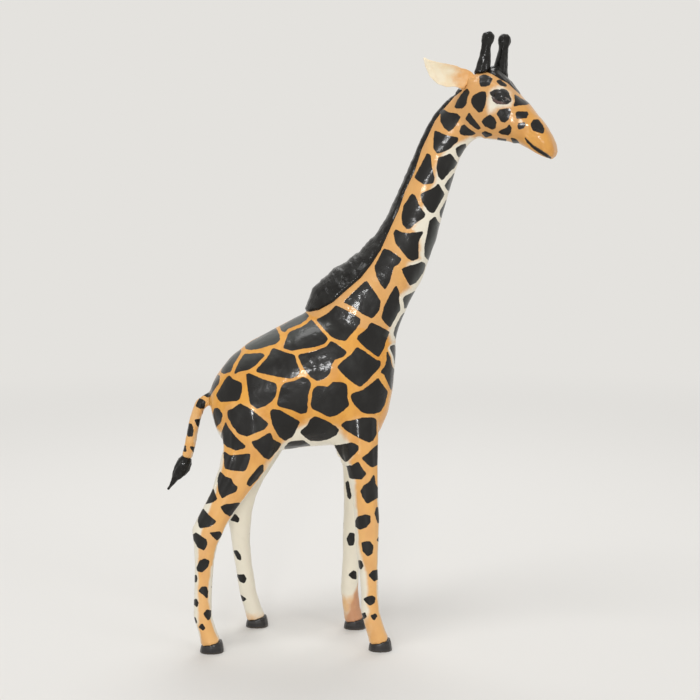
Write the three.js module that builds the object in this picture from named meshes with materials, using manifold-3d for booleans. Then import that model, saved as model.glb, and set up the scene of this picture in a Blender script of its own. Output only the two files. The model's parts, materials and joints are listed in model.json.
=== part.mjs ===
// A leather-covered toy giraffe, standing, with its head turned a little to its right.
// Millimetres. +X is forward, +Y is the animal's left, +Z is up, and the soles stand on z = 0.
import * as THREE from "three";
import manifoldModule from "manifold-3d";

const wasm = await manifoldModule();
wasm.setup();
const { Manifold, Mesh: ManifoldMesh } = wasm;

// Main lengths: sole to belly, rump to chest, withers to poll; and those that the tables below are drawn at
const LEG_LENGTH = 150;
const TRUNK_LENGTH = 140;
const NECK_LENGTH = 160;
const DRAWN = { leg: 150, trunk: 140, neck: 160, neckFoot: 250 };

// Thicknesses and clearances
const HIDE = 1.4;
const GAP = 0.3;
const SOCKET_GAP = 0.7;
const MANE_THICKNESS = 2;
const MANE_REACH = 60;
const STRIP_THICKNESS = 1.2;
const STRIP_REACH = 40;

// Armature wires and their bores
const SPINE_WIRE_RADIUS = 1.6;
const LEG_WIRE_RADIUS = 1.3;
const TAIL_WIRE_RADIUS = 0.8;
const WIRE_END_ABOVE_SOLE = 2.5;

// Trunk, from rump to chest: upper x and z, lower x and z, half width
const TRUNK = [
  [-113.5, 189, -111, 172, 9],
  [-112.8, 196.2, -107.5, 160, 17],
  [-108, 205.4, -100.5, 150.5, 24],
  [-99, 217.6, -90.5, 145, 30],
  [-83.5, 230, -76, 145, 33.5],
  [-67, 238.7, -58, 148, 34.5],
  [-46, 250, -38, 150.5, 35],
  [-22, 259, -16, 151.5, 34],
  [0, 260, 2, 153, 31],
  [14, 252.5, 13, 160, 25.5],
  [22.5, 242, 20, 176, 18],
  [26, 229, 24, 196, 9],
];

// Neck, from the shoulders up: back x and z, front x and z, half width
const NECK = [
  [-42, 236, 22, 220, 24],
  [-41.5, 252, 30.5, 246, 25],
  [-35, 268.5, 37.5, 262, 23.5],
  [-21, 281.5, 45.5, 276, 21.5],
  [-3, 293.5, 50.5, 291, 19.5],
  [12, 308.5, 56, 306.5, 17.5],
  [21.2, 323, 60, 322.5, 16.2],
  [28, 338, 64, 337, 15.2],
  [34.8, 354, 68.5, 352.5, 14.6],
  [42, 370.5, 73, 366, 14.2],
  [47.6, 383, 78, 375, 14.2],
  [53.6, 394.5, 86, 382.5, 14.2],
  [60.2, 403.3, 93, 389, 13.5],
  [68.2, 412.3, 98, 398, 11.5],
];

// Head in its own frame, x forward from the poll: upper x and z, lower x and z, half width
const POLL = [75, 0, 0];
const HEAD_TURN = THREE.MathUtils.degToRad(20);
const HEAD = [
  [-3.5, 413.8, -7, 396, 9],
  [3.5, 423.3, -2, 388, 14],
  [13, 429.6, 5, 382, 17],
  [24.7, 429.8, 17, 381.5, 18.6],
  [35.4, 423.2, 27.5, 380.3, 19],
  [43.3, 412.8, 36.2, 379, 17.6],
  [49.8, 405, 43.5, 376.8, 15.4],
  [55.8, 397.5, 50, 373.3, 13.6],
  [61.3, 390.8, 55.8, 370.3, 12.8],
  [66.3, 383.3, 62, 367.3, 12],
  [69.2, 376.8, 66.3, 365.8, 9.6],
  [70.3, 371.8, 68.8, 366.8, 5.5],
];

// Legs, from the top down: z, x of the middle, depth, distance out from the mid-plane, half width
const FRONT_RIGHT_LEG = [
  [176, -2, 30, 17, 12],
  [162, -1.5, 29, 19, 12],
  [149, -0.5, 26.5, 21, 11],
  [136, 1, 23, 22.3, 10],
  [121, 2.9, 19.4, 23.2, 9.2],
  [98, 4.4, 18, 24.2, 8.7],
  [75, 4.6, 16.5, 25, 8],
  [60, 5.6, 13.8, 25.4, 7],
  [44, 6.5, 12.6, 25.9, 6.4],
  [29, 7, 13.5, 26.3, 6.8],
  [16, 10.6, 13.6, 26.5, 7],
  [8, 13.4, 14.8, 26.5, 7.4],
  [3, 14.4, 15, 26.5, 7.4],
];
const FRONT_LEFT_LEG = [
  [176, -4, 30, 17, 12],
  [162, -4, 29, 19, 12],
  [149, -3.5, 26.5, 21, 11],
  [127, -2.6, 22, 22.8, 9.6],
  [103, -3.6, 18.8, 24, 8.8],
  [79, -5.2, 17, 24.8, 8.2],
  [62, -6.6, 14.4, 25.3, 7.1],
  [46, -8, 13, 25.9, 6.5],
  [31, -8.7, 13.4, 26.3, 6.8],
  [17, -7.2, 13.2, 26.5, 6.9],
  [8, -5.2, 14.6, 26.5, 7.4],
  [3, -4.4, 15, 26.5, 7.4],
];
const HIND_RIGHT_LEG = [
  [200, -80, 44, 15, 15],
  [184, -80, 52, 17, 17],
  [167, -79, 51, 18.5, 17],
  [152, -80.5, 42, 20.3, 15],
  [137, -86.5, 33.5, 22.5, 13],
  [121, -96.5, 28, 24.5, 11],
  [106, -106.5, 25, 26.5, 9.6],
  [93, -113.5, 24.2, 28, 9],
  [81, -115.6, 17.5, 29, 8],
  [69, -116.5, 14, 29.6, 7],
  [50, -117.7, 12.7, 30.4, 6.4],
  [28, -118.2, 13, 31, 6.5],
  [16, -115.2, 13, 31, 6.8],
  [8, -112.4, 14.6, 31, 7.4],
  [3, -111.6, 15, 31, 7.4],
];
const HIND_LEFT_LEG = [
  [200, -78, 44, 15, 15],
  [184, -78, 52, 17, 17],
  [167, -76, 50, 18.5, 17],
  [152, -76.5, 41, 20.3, 15],
  [137, -80.5, 32.5, 22.5, 13],
  [121, -88, 26.5, 24.5, 11],
  [106, -93, 22.5, 26.5, 9.6],
  [92, -95.6, 20, 28, 9],
  [80, -94.8, 16.2, 29, 8],
  [68, -94.2, 14, 29.6, 7],
  [50, -92.4, 12.8, 30.4, 6.4],
  [28, -89.2, 13, 31, 6.5],
  [16, -85.8, 13, 31, 6.8],
  [8, -83, 14.6, 31, 7.4],
  [3, -82.2, 15, 31, 7.4],
];

// Hooves
const HOOF_LENGTH = 18;
const HOOF_WIDTH = 15.2;
const HOOF_TOE_HEIGHT = 8.6;
const HOOF_HEEL_HEIGHT = 5;

// Mane, as its outline seen from the side
const MANE_OUTLINE = [
  [75, 416.6], [66.6, 410.4], [59, 401.5], [51.7, 389], [46.4, 372.8], [40.6, 358], [34.7, 343.3], [28.8, 330],
  [22.2, 313.7], [17, 302], [10.4, 291.3], [0.7, 276.5], [-8.3, 268.2], [-17.3, 261.5], [-30.8, 255.3],
  [-44, 252.4], [-60, 262], [-45, 300], [0, 330], [40, 410], [70, 440],
];

// Forehead strip, as its outline seen from the side of the head
const STRIP_OUTLINE = [
  [9, 426.4], [17, 427.2], [25, 426.4], [32, 421.8], [38, 416], [44, 409.8], [50, 403.6], [60, 408],
  [52, 425], [30, 445], [8, 440],
];

// Horns in the head's frame, from a root inside the head to the tip
const RIGHT_HORN = { root: [13.6, -6.5, 420], tip: [21.6, -7.6, 457.4] };
const LEFT_HORN = { root: [26.6, 6.5, 420], tip: [29.6, 7.6, 457] };
const HORN_BASE_RADIUS = 5.6;
const HORN_BASE_HEIGHT = 5;
const HORN_FLARE_HEIGHT = 17;
const HORN_SHAFT_RADIUS = 3.5;
const HORN_KNOB_RADIUS = 4.7;
const PEG_RADIUS = 1.7;
const PEG_IN_HEAD = 12;
const PEG_IN_HORN = 24;

// Eyes and lids in the head's frame
const EYE_RADIUS = 5.6;
const RIGHT_EYE = [32.6, -13.4, 409.4];
const LEFT_EYE = [32.6, 13.4, 409.4];
const LID_PROUD = 3.2;
const LID_RADIUS = 1.5;
const LID_LENGTH = 16.4;
const LID_HEIGHT = 12.6;
const LID_PINCH = 0.35;
const LID_TILT = THREE.MathUtils.degToRad(-24);

// Ears in the head's frame
const RIGHT_EAR = { root: [9.6, -11.2, 421.2], reach: [-29.5, -23, 16], face: [0.56, -0.82, -0.13] };
const LEFT_EAR = { root: [8, 13.8, 414.8], reach: [-30, 19.2, -8], face: [0.56, 0.82, -0.13] };
const EAR_BALL_RADIUS = 3.4;
const EAR_CLEARANCE = 1.6;
const EAR_WIDTH = 16.6;
const EAR_BOW = 4.7;
const EAR_CUP = 3.2;
const EAR_THICKNESS = 1.5;

// Tail: dock from the rump to the bend, then the path of the hide and of the tuft
const TAIL_ROOT = [-114.4, 187];
const TAIL_BEND = [-121.4, 182.4];
const DOCK_RADIUS = 4.5;
const DOCK_STEM_RADIUS = 4.1;
const TAIL_BALL_RADIUS = 4.1;
const TAIL_RADIUS = 3.9;
const TAIL_PATH = [TAIL_BEND, [-124.2, 175.5], [-127.2, 164], [-129.8, 151], [-132.2, 142]];
const TUFT_PATH = [[-132.3, 141.7], [-134.6, 136.4], [-138.3, 129.6], [-142.6, 123.2], [-147.2, 116.6]];
const TUFT_RADII = [3.9, 6, 4.9, 2.8, 1];
const TAIL_WIRE_IN_TUFT = 0.4;

// Numbers of sides and rings
const TRUNK_SIDES = 20;
const TRUNK_RINGS = 12;
const NECK_SIDES = 14;
const HEAD_SIDES = 16;
const LEG_SIDES = 10;
const HOOF_SIDES = 14;
const WIRE_SIDES = 6;
const TAIL_SIDES = 10;

// Materials
function leather(name, colour, roughness = 0.45) {
  return () => new THREE.MeshStandardMaterial({ name, color: colour, roughness, metalness: 0 });
}

const hide = leather("painted_hide", 0xd9973f);
const blackLeather = leather("black_leather", 0x232021, 0.4);
const earLeather = leather("ear_leather", 0xf0dfba, 0.6);
const lidLeather = leather("lid_leather", 0x2a2320);
const hornLeather = leather("hoof_black", 0x1c1a1b, 0.35);
const paper = () => new THREE.MeshStandardMaterial({
  name: "pressed_paper", color: 0xb7a78a, roughness: 0.95,
});
const steel = () => new THREE.MeshStandardMaterial({
  name: "steel_wire", color: 0x9a9da0, roughness: 0.35, metalness: 1,
});
const wood = () => new THREE.MeshStandardMaterial({ name: "peg_wood", color: 0xc79a62, roughness: 0.8 });
const glass = () => new THREE.MeshStandardMaterial({ name: "eye_glass", color: 0x120c09, roughness: 0.05 });

// Solids
function solid(geometry) {
  const position = geometry.getAttribute("position");
  const index = geometry.index ? Array.from(geometry.index.array) : [...Array(position.count).keys()];
  const mesh = new ManifoldMesh({
    numProp: 3,
    vertProperties: new Float32Array(position.array),
    triVerts: new Uint32Array(index),
  });
  mesh.merge();
  const body = new Manifold(mesh);
  return body;
}

function geometryOf(body) {
  const mesh = body.getMesh();
  const geometry = new THREE.BufferGeometry();
  const points = new Float32Array(mesh.numVert * 3);
  for (let v = 0; v < mesh.numVert; v++) {
    const first = mesh.numProp * v;
    points.set(mesh.vertProperties.subarray(first, first + 3), 3 * v);
  }
  geometry.setAttribute("position", new THREE.BufferAttribute(points, 3));
  geometry.setIndex(new THREE.BufferAttribute(new Uint32Array(mesh.triVerts), 1));
  geometry.computeVertexNormals();
  return geometry;
}

// The largest of the pieces that a cut leaves
function largest(body) {
  const pieces = body.decompose();
  return pieces.reduce((best, piece) => (piece.volume() > best.volume() ? piece : best));
}

function cut(body, ...tools) {
  return tools.reduce((rest, tool) => rest.subtract(tool), body);
}

function place(group, name, body, material) {
  const mesh = new THREE.Mesh(geometryOf(largest(body)), material());
  mesh.name = name;
  group.add(mesh);
  return mesh;
}

// Closed surface through rings of points, with a fan over each end
function loft(rings) {
  const sides = rings[0].length;
  const points = rings.flat();
  const faces = [];
  for (let r = 0; r + 1 < rings.length; r++) {
    for (let s = 0; s < sides; s++) {
      const a = r * sides + s;
      const b = r * sides + ((s + 1) % sides);
      faces.push(a, b, b + sides, a, b + sides, a + sides);
    }
  }
  const ends = [rings[0], rings[rings.length - 1]];
  ends.forEach((ring, end) => {
    const centre = ring.reduce((sum, p) => sum.add(p), new THREE.Vector3()).divideScalar(sides);
    const first = end === 0 ? 0 : (rings.length - 1) * sides;
    points.push(centre);
    for (let s = 0; s < sides; s++) {
      const a = first + s;
      const b = first + ((s + 1) % sides);
      faces.push(points.length - 1, ...(end === 0 ? [b, a] : [a, b]));
    }
  });
  const volume = (p, q, r) => points[p].dot(points[q].clone().cross(points[r]));
  let total = 0;
  for (let f = 0; f < faces.length; f += 3) {
    total += volume(faces[f], faces[f + 1], faces[f + 2]);
  }
  if (total < 0) {
    faces.reverse();
  }
  const geometry = new THREE.BufferGeometry().setFromPoints(points);
  geometry.setIndex(faces);
  return solid(geometry);
}

// Where a drawn point of the trunk, a leg or the neck goes at the main lengths above
const legRatio = LEG_LENGTH / DRAWN.leg;
const trunkRatio = TRUNK_LENGTH / DRAWN.trunk;
const neckRise = new THREE.Vector2(0.45, 0.893).multiplyScalar(NECK_LENGTH - DRAWN.neck);

function onTrunk(x, z) {
  const height = z < DRAWN.leg ? z * legRatio : z + LEG_LENGTH - DRAWN.leg;
  return [x < 0 ? x * trunkRatio : x, height];
}

function onNeck(x, z) {
  const share = THREE.MathUtils.clamp((z - DRAWN.neckFoot) / DRAWN.neck, 0, 1);
  const [footX, footZ] = onTrunk(x, z);
  return [footX + share * neckRise.x, footZ + share * neckRise.y];
}

// A shift that carries a whole piece with the point it hangs from
function carried([x, z], place) {
  const [newX, newZ] = place(x, z);
  return new THREE.Vector3(newX - x, 0, newZ - z);
}

// A station is an outline point, the outline point across from it, the distance out and the half width
function station(a, b, y, halfWidth) {
  const side = new THREE.Vector3(y, halfWidth, 0);
  return { a: new THREE.Vector3(...a), b: new THREE.Vector3(...b), side };
}

function outlineStations(rows, place = (x, z) => [x, z]) {
  const point = (x, z) => {
    const [px, pz] = place(x, z);
    return [px, 0, pz];
  };
  return rows.map(([ax, az, bx, bz, w]) => station(point(ax, az), point(bx, bz), 0, w));
}

const trunkStations = outlineStations(TRUNK, onTrunk);
const neckStations = outlineStations(NECK, onNeck);
const headStations = outlineStations(HEAD);

// A leg's rows at the main lengths; each leg keeps its shape and stands under its hip
function legRows(rows, hipX) {
  const [shift] = carried([hipX, 0], onTrunk);
  return rows.map(([z, x, ...rest]) => [onTrunk(x, z)[1], x + shift, ...rest]);
}

function legStations(rows, side) {
  return rows.map(([z, x, depth, out, w]) => {
    return station([x + depth / 2, 0, z], [x - depth / 2, 0, z], side * out, w);
  });
}

// More stations on smooth curves through the given ones
function smooth(stations, count) {
  const curve = (key) => new THREE.CatmullRomCurve3(stations.map((s) => s[key]));
  const [a, b, side] = [curve("a"), curve("b"), curve("side")];
  return [...Array(count).keys()].map((i) => {
    const t = i / (count - 1);
    return { a: a.getPoint(t), b: b.getPoint(t), side: side.getPoint(t) };
  });
}

function ring(s, grow, sides, square) {
  const across = s.a.clone().sub(s.b);
  const depth = across.length() / 2 + grow;
  const width = s.side.y + grow;
  across.normalize();
  const middle = s.a.clone().add(s.b).multiplyScalar(0.5);
  const bulge = (v) => Math.sign(v) * Math.pow(Math.abs(v), 2 / square);
  return [...Array(sides).keys()].map((i) => {
    const angle = (2 * Math.PI * (i + 0.5)) / sides;
    const point = middle.clone().addScaledVector(across, depth * bulge(Math.cos(angle)));
    point.y += s.side.x + width * bulge(Math.sin(angle));
    return point;
  });
}

// A limb's solid, grown by so much all round; negative shrinks it
function limb(stations, grow, sides, square = 2.2) {
  const rings = stations.map((s) => ring(s, grow, sides, square));
  const centre = (s) => s.a.clone().add(s.b).multiplyScalar(0.5).setY(s.side.x);
  const push = (end, next) => {
    const direction = centre(stations.at(end)).sub(centre(stations.at(next))).normalize();
    rings.at(end).forEach((p) => p.addScaledVector(direction, grow));
  };
  push(0, 1);
  push(-1, -2);
  return loft(rings);
}

// A round bar along a curve
function bar(points, radius, steps, sides = WIRE_SIDES) {
  const path = new THREE.CatmullRomCurve3(points.map((p) => new THREE.Vector3(...p)));
  const shape = new THREE.Shape([...Array(sides).keys()].map((s) => {
    const angle = (2 * Math.PI * s) / sides;
    return new THREE.Vector2(radius * Math.cos(angle), radius * Math.sin(angle));
  }));
  return solid(new THREE.ExtrudeGeometry(shape, { steps, extrudePath: path, bevelEnabled: false }));
}

// A side-view outline in x and z, drawn through the whole width
function outlineBlock(outline, halfWidth) {
  const shape = new THREE.Shape(outline.map(([x, z]) => new THREE.Vector2(x, z)));
  const geometry = new THREE.ExtrudeGeometry(shape, { depth: 2 * halfWidth, bevelEnabled: false });
  geometry.rotateX(Math.PI / 2);
  geometry.translate(0, halfWidth, 0);
  return solid(geometry);
}

function ball(centre, radius, width = 12, height = 8) {
  const geometry = new THREE.SphereGeometry(radius, width, height);
  geometry.translate(...centre);
  return solid(geometry);
}

// A turned solid standing on a point and leaning along a direction
function turned(profile, foot, direction, segments) {
  const geometry = new THREE.LatheGeometry(profile.map(([r, h]) => new THREE.Vector2(r, h)), segments);
  const up = new THREE.Vector3(0, 1, 0);
  geometry.applyQuaternion(new THREE.Quaternion().setFromUnitVectors(up, direction));
  geometry.translate(foot.x, foot.y, foot.z);
  return solid(geometry);
}

// Trunk, neck and head forms at a given growth
const trunkForm = smooth(trunkStations, TRUNK_RINGS);
const trunk = (grow) => limb(trunkForm, grow, TRUNK_SIDES);
const neck = (grow) => limb(neckStations, grow, NECK_SIDES);
const head = (grow) => limb(headStations, grow, HEAD_SIDES, 2.5);
const CORE = -HIDE - GAP;

// The head turns about an upright line through the poll
const POLL_DRAWN_Z = 400;
const pollPlace = new THREE.Vector3(...POLL).add(carried([POLL[0], POLL_DRAWN_Z], onNeck));
const headPlace = new THREE.Matrix4().makeRotationZ(-HEAD_TURN).setPosition(pollPlace);
const headReturn = headPlace.clone().invert();

function moved(body, matrix) {
  return solid(geometryOf(body).applyMatrix4(matrix));
}

const headInWorld = (grow) => moved(head(grow), headPlace);
const neckAtHead = (grow) => moved(neck(grow), headReturn);

// Armature
const SPINE_PATH = [
  [-96, 0, 182], [-60, 0, 192], [-20, 0, 212], [8, 0, 246], [25, 0, 283], [42, 0, 322], [54, 0, 356],
  [66, 0, 384], [84, 0, 402],
];
const spinePath = SPINE_PATH.map(([x, y, z]) => {
  const [px, pz] = onNeck(x, z);
  return [px, y, pz];
});
const spine = (grow) => bar(spinePath, SPINE_WIRE_RADIUS + grow, 16);

function legWirePath(rows, side, hip) {
  const [hipDrawnX, hipOut, hipDrawnZ] = hip;
  const [hipX, hipZ] = onTrunk(hipDrawnX, hipDrawnZ);
  const within = ([z]) => z < LEG_LENGTH + 5 && z > WIRE_END_ABOVE_SOLE + 2;
  const down = rows.filter(within).map(([z, x, , out]) => [x, side * out, z]);
  const [, lastX, , lastOut] = rows.at(-1);
  return [[hipX, side * hipOut, hipZ], ...down, [lastX, side * lastOut, WIRE_END_ABOVE_SOLE]];
}

const legs = [
  { name: "front_right", rows: FRONT_RIGHT_LEG, side: -1, hip: [-4, 9, 186] },
  { name: "front_left", rows: FRONT_LEFT_LEG, side: 1, hip: [-6, 9, 186] },
  { name: "hind_right", rows: HIND_RIGHT_LEG, side: -1, hip: [-78, 9, 178] },
  { name: "hind_left", rows: HIND_LEFT_LEG, side: 1, hip: [-76, 9, 178] },
];

legs.forEach((leg) => {
  const rows = legRows(leg.rows, leg.hip[0]);
  const stations = legStations(rows, leg.side);
  const [, footX, , footOut] = rows.at(-1);
  const path = legWirePath(rows, leg.side, leg.hip);
  leg.form = (grow) => limb(stations, grow, LEG_SIDES, 2.1);
  leg.wire = (grow) => bar(path, LEG_WIRE_RADIUS + grow, 13);
  leg.hoof = (grow) => hoofForm(footX, leg.side * footOut, grow);
  leg.ground = () => hoofForm(footX, leg.side * footOut, GAP, HOOF_WIDTH / 2);
});

function hoofForm(x, y, grow, wider = 0) {
  const toe = HOOF_LENGTH / 2;
  const top = { front: toe - 1.5, back: -toe + 1 };
  const slope = (HOOF_TOE_HEIGHT - HOOF_HEEL_HEIGHT) / (top.front - top.back);
  const lip = slope * wider;
  const rows = [
    [toe, 0, -toe, 0, HOOF_WIDTH / 2],
    [toe - 0.4, HOOF_TOE_HEIGHT * 0.5, -toe + 0.3, HOOF_HEEL_HEIGHT * 0.5, HOOF_WIDTH / 2],
    [top.front, HOOF_TOE_HEIGHT + lip, top.back, HOOF_HEEL_HEIGHT - lip, HOOF_WIDTH / 2 - 0.3],
  ];
  const stations = rows.map(([ax, az, bx, bz, w]) => {
    return station([x + ax + wider, 0, az], [x + bx - wider, 0, bz], y, w + wider);
  });
  return limb(stations, grow, HOOF_SIDES, 2.3);
}

// Tail
const tailShift = carried(TAIL_ROOT, onTrunk);
const inPlane = ([x, z]) => new THREE.Vector3(x, 0, z).add(tailShift);
const tailRoot = inPlane(TAIL_ROOT);
const tailBend = inPlane(TAIL_BEND);

function roundLoft(path, radii, sides) {
  const curve = new THREE.CatmullRomCurve3(path.map(inPlane));
  const widths = new THREE.CatmullRomCurve3(radii.map((r) => new THREE.Vector3(r, 0, 0)));
  const count = path.length + 2;
  const rings = [...Array(count).keys()].map((i) => {
    const t = i / (count - 1);
    const middle = curve.getPoint(t);
    const tangent = curve.getTangent(t);
    const normal = new THREE.Vector3(-tangent.z, 0, tangent.x);
    const radius = widths.getPoint(t).x;
    return [...Array(sides).keys()].map((s) => {
      const angle = (2 * Math.PI * s) / sides;
      const point = middle.clone().addScaledVector(normal, radius * Math.cos(angle));
      point.y += radius * Math.sin(angle);
      return point;
    });
  });
  return loft(rings);
}

const tailTube = roundLoft(TAIL_PATH, TAIL_PATH.map(() => TAIL_RADIUS), TAIL_SIDES);
const tuft = roundLoft(TUFT_PATH, TUFT_RADII, TAIL_SIDES);
const tuftCurve = new THREE.CatmullRomCurve3(TUFT_PATH.map(inPlane));
const tailWireEnd = tuftCurve.getPoint(TAIL_WIRE_IN_TUFT);
const wireStart = tailBend.clone().lerp(inPlane(TAIL_PATH[1]), 0.3);
const TAIL_WIRE_PATH = [
  wireStart.toArray(), ...TAIL_PATH.slice(1).map((p) => inPlane(p).toArray()), tailWireEnd.toArray(),
];
const tailWire = (grow, points = TAIL_WIRE_PATH) => bar(points, TAIL_WIRE_RADIUS + grow, 8);

function dockForm() {
  const along = tailBend.clone().sub(tailRoot);
  const length = along.length();
  const shell = ball(tailRoot.toArray(), DOCK_RADIUS, 10, 6);
  const end = length - 0.45 * TAIL_BALL_RADIUS;
  const profile = [[0, 0], [DOCK_STEM_RADIUS, 0], [DOCK_STEM_RADIUS, end], [0, end]];
  const stem = turned(profile, tailRoot, along.normalize(), TAIL_SIDES + 2);
  return cut(shell.add(stem), ball(tailBend.toArray(), TAIL_BALL_RADIUS + SOCKET_GAP, 10, 6));
}

// Horns
function hornAxis({ root, tip }) {
  const foot = new THREE.Vector3(...root);
  const along = new THREE.Vector3(...tip).sub(foot);
  return { foot, length: along.length(), direction: along.normalize() };
}

function hornForm(axis) {
  const top = axis.length;
  const knob = HORN_KNOB_RADIUS;
  const profile = [
    [0, 0], [HORN_BASE_RADIUS, 0], [HORN_BASE_RADIUS, HORN_BASE_HEIGHT],
    [HORN_BASE_RADIUS * 0.78, (HORN_BASE_HEIGHT + HORN_FLARE_HEIGHT) / 2],
    [HORN_SHAFT_RADIUS * 1.12, HORN_FLARE_HEIGHT], [HORN_SHAFT_RADIUS, top - 2.6 * knob],
    [HORN_SHAFT_RADIUS * 1.05, top - 2 * knob],
    [knob * 0.96, top - 1.4 * knob], [knob, top - knob], [knob * 0.88, top - 0.5 * knob],
    [knob * 0.5, top - 0.1 * knob], [0, top],
  ];
  return turned(profile, axis.foot, axis.direction, 10);
}

function pegForm(axis, grow) {
  const [low, high] = [-PEG_IN_HEAD - grow, PEG_IN_HORN + grow];
  const radius = PEG_RADIUS + grow;
  return turned([[0, low], [radius, low], [radius, high], [0, high]], axis.foot, axis.direction, 10);
}

// Ears: a cupped leaf from a round root, fuller along its lower edge
function earForm(ear) {
  const root = new THREE.Vector3(...ear.root);
  const along = new THREE.Vector3(...ear.reach);
  const length = along.length();
  along.normalize();
  const face = new THREE.Vector3(...ear.face);
  face.addScaledVector(along, -face.dot(along)).normalize();
  const width = new THREE.Vector3().crossVectors(along, face);
  const rows = [
    [0, 0.36, 4.2], [0.1, 0.5, 3.4], [0.24, 0.82, EAR_THICKNESS], [0.4, 1, EAR_THICKNESS],
    [0.58, 0.95, EAR_THICKNESS], [0.76, 0.7, EAR_THICKNESS], [0.9, 0.36, EAR_THICKNESS],
    [1, 0.08, EAR_THICKNESS],
  ];
  const steps = [-1, -0.5, 0, 0.5, 1];
  const down = -Math.sign(width.z);
  const rings = rows.map(([s, share, thick]) => {
    const half = (share * EAR_WIDTH) / 2;
    const cup = EAR_CUP * share * (s < 0.2 ? 0.3 : 1);
    const bow = EAR_BOW * 6.75 * s * s * (1 - s);
    const spine = root.clone().addScaledVector(along, s * length).addScaledVector(width, down * bow);
    const at = (t, skin) => spine.clone().addScaledVector(width, half * t)
      .addScaledVector(face, cup * (t * t - 0.4) + (skin * thick * (1 - 0.35 * t * t)) / 2);
    return [...steps.map((t) => at(t, 1)), ...steps.toReversed().map((t) => at(t, -1))];
  });
  return cut(loft(rings), head(EAR_CLEARANCE)).add(ball(ear.root, EAR_BALL_RADIUS, 10, 6));
}

// Eyelids: an almond ring lying on the side of the head
function lidForm(eye) {
  const side = Math.sign(eye[1]);
  const middle = (LID_HEIGHT - 2 * LID_RADIUS) / 2;
  const geometry = new THREE.TorusGeometry(middle, LID_RADIUS, 6, 16);
  const stretch = (LID_LENGTH - 2 * LID_RADIUS) / (LID_HEIGHT - 2 * LID_RADIUS);
  geometry.scale(stretch, 1, 1);
  const position = geometry.getAttribute("position");
  for (let v = 0; v < position.count; v++) {
    const share = (2 * position.getX(v)) / LID_LENGTH;
    position.setY(v, position.getY(v) * (1 - LID_PINCH * share * share));
  }
  geometry.rotateX(Math.PI / 2);
  geometry.rotateY(-LID_TILT);
  geometry.rotateX(side * THREE.MathUtils.degToRad(24));
  geometry.rotateZ(side * THREE.MathUtils.degToRad(-11));
  geometry.translate(eye[0], eye[1] + side * LID_PROUD, eye[2]);
  return solid(geometry);
}

// The whole figure
const figure = new THREE.Group();
figure.name = "giraffe";
const headGroup = new THREE.Group();
headGroup.name = "head";
headGroup.position.copy(pollPlace);
headGroup.rotation.z = -HEAD_TURN;
figure.add(headGroup);

const tailSocket = ball(tailRoot.toArray(), DOCK_RADIUS + SOCKET_GAP, 10, 6);

// Trunk
const legCores = legs.map((leg) => leg.form(-HIDE));
const legBores = legs.map((leg) => leg.wire(GAP));
place(figure, "body_core", cut(trunk(CORE), spine(GAP), tailSocket, ...legBores), paper);
const trunkShell = cut(trunk(0), trunk(-HIDE));
place(figure, "body_leather", cut(trunkShell, neck(-HIDE), tailSocket, ...legCores, ...legBores), hide);
place(figure, "spine_wire", spine(0), steel);

// Neck
const neckBlock = cut(neck(CORE), trunk(-HIDE), headInWorld(-HIDE), spine(GAP));
place(figure, "neck_core", neckBlock, paper);
const neckShell = cut(neck(0), neck(-HIDE), trunk(GAP), headInWorld(GAP));
place(figure, "neck_leather", neckShell, hide);
const maneShell = cut(neck(GAP + MANE_THICKNESS), neck(GAP));
const maneBlock = maneShell.intersect(outlineBlock(MANE_OUTLINE.map(([x, z]) => onNeck(x, z)), MANE_REACH));
place(figure, "mane", cut(maneBlock, trunk(GAP), headInWorld(GAP)), blackLeather);

// Legs
legs.forEach((leg) => {
  const core = cut(leg.form(CORE), trunk(-HIDE), leg.ground(), leg.wire(GAP));
  place(figure, `${leg.name}_leg_core`, core, paper);
  const sleeve = cut(leg.form(0), leg.form(-HIDE), trunk(GAP), leg.ground());
  place(figure, `${leg.name}_leg_leather`, sleeve, hide);
  place(figure, `${leg.name}_leg_wire`, leg.wire(0), steel);
  place(figure, `${leg.name}_hoof`, cut(leg.hoof(0), leg.wire(GAP)), hornLeather);
});

// Head
const horns = [RIGHT_HORN, LEFT_HORN].map(hornAxis);
const pegBores = horns.map((axis) => pegForm(axis, GAP));
const ears = [RIGHT_EAR, LEFT_EAR];
const earSockets = ears.map((ear) => ball(ear.root, EAR_BALL_RADIUS + SOCKET_GAP, 10, 6));
const eyes = [RIGHT_EYE, LEFT_EYE];
const eyeSockets = eyes.map((eye) => ball(eye, EYE_RADIUS + GAP));
const headFittings = [...pegBores, ...earSockets, ...eyeSockets];
const spineAtHead = moved(spine(GAP), headReturn);
place(headGroup, "head_core", cut(head(CORE), spineAtHead, ...headFittings), paper);
const headShell = cut(head(0), head(-HIDE), neckAtHead(-HIDE), ...headFittings);
place(headGroup, "head_leather", headShell, hide);
const stripShell = cut(head(GAP + STRIP_THICKNESS), head(GAP));
const stripBlock = stripShell.intersect(outlineBlock(STRIP_OUTLINE, STRIP_REACH));
place(headGroup, "forehead_strip", cut(stripBlock, ...headFittings), blackLeather);
const underHorns = head(2 * GAP + STRIP_THICKNESS);
["right", "left"].forEach((name, i) => {
  place(headGroup, `${name}_horn`, cut(hornForm(horns[i]), underHorns, pegBores[i]), hornLeather);
  place(headGroup, `${name}_horn_peg`, pegForm(horns[i], 0), wood);
  place(headGroup, `${name}_eye`, ball(eyes[i], EYE_RADIUS), glass);
  place(headGroup, `${name}_eyelid`, cut(lidForm(eyes[i]), head(GAP), eyeSockets[i]), lidLeather);
  place(headGroup, `${name}_ear`, earForm(ears[i]), earLeather);
});

// Tail
const tailBall = ball(tailBend.toArray(), TAIL_BALL_RADIUS, 10, 6);
place(figure, "tail_dock", dockForm(), hide);
place(figure, "tail_leather", cut(tailTube.add(tailBall), tuft, tailWire(GAP)), hide);
place(figure, "tail_wire", tailWire(0), steel);
place(figure, "tail_tuft", cut(tuft, tailWire(GAP)), blackLeather);

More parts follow.
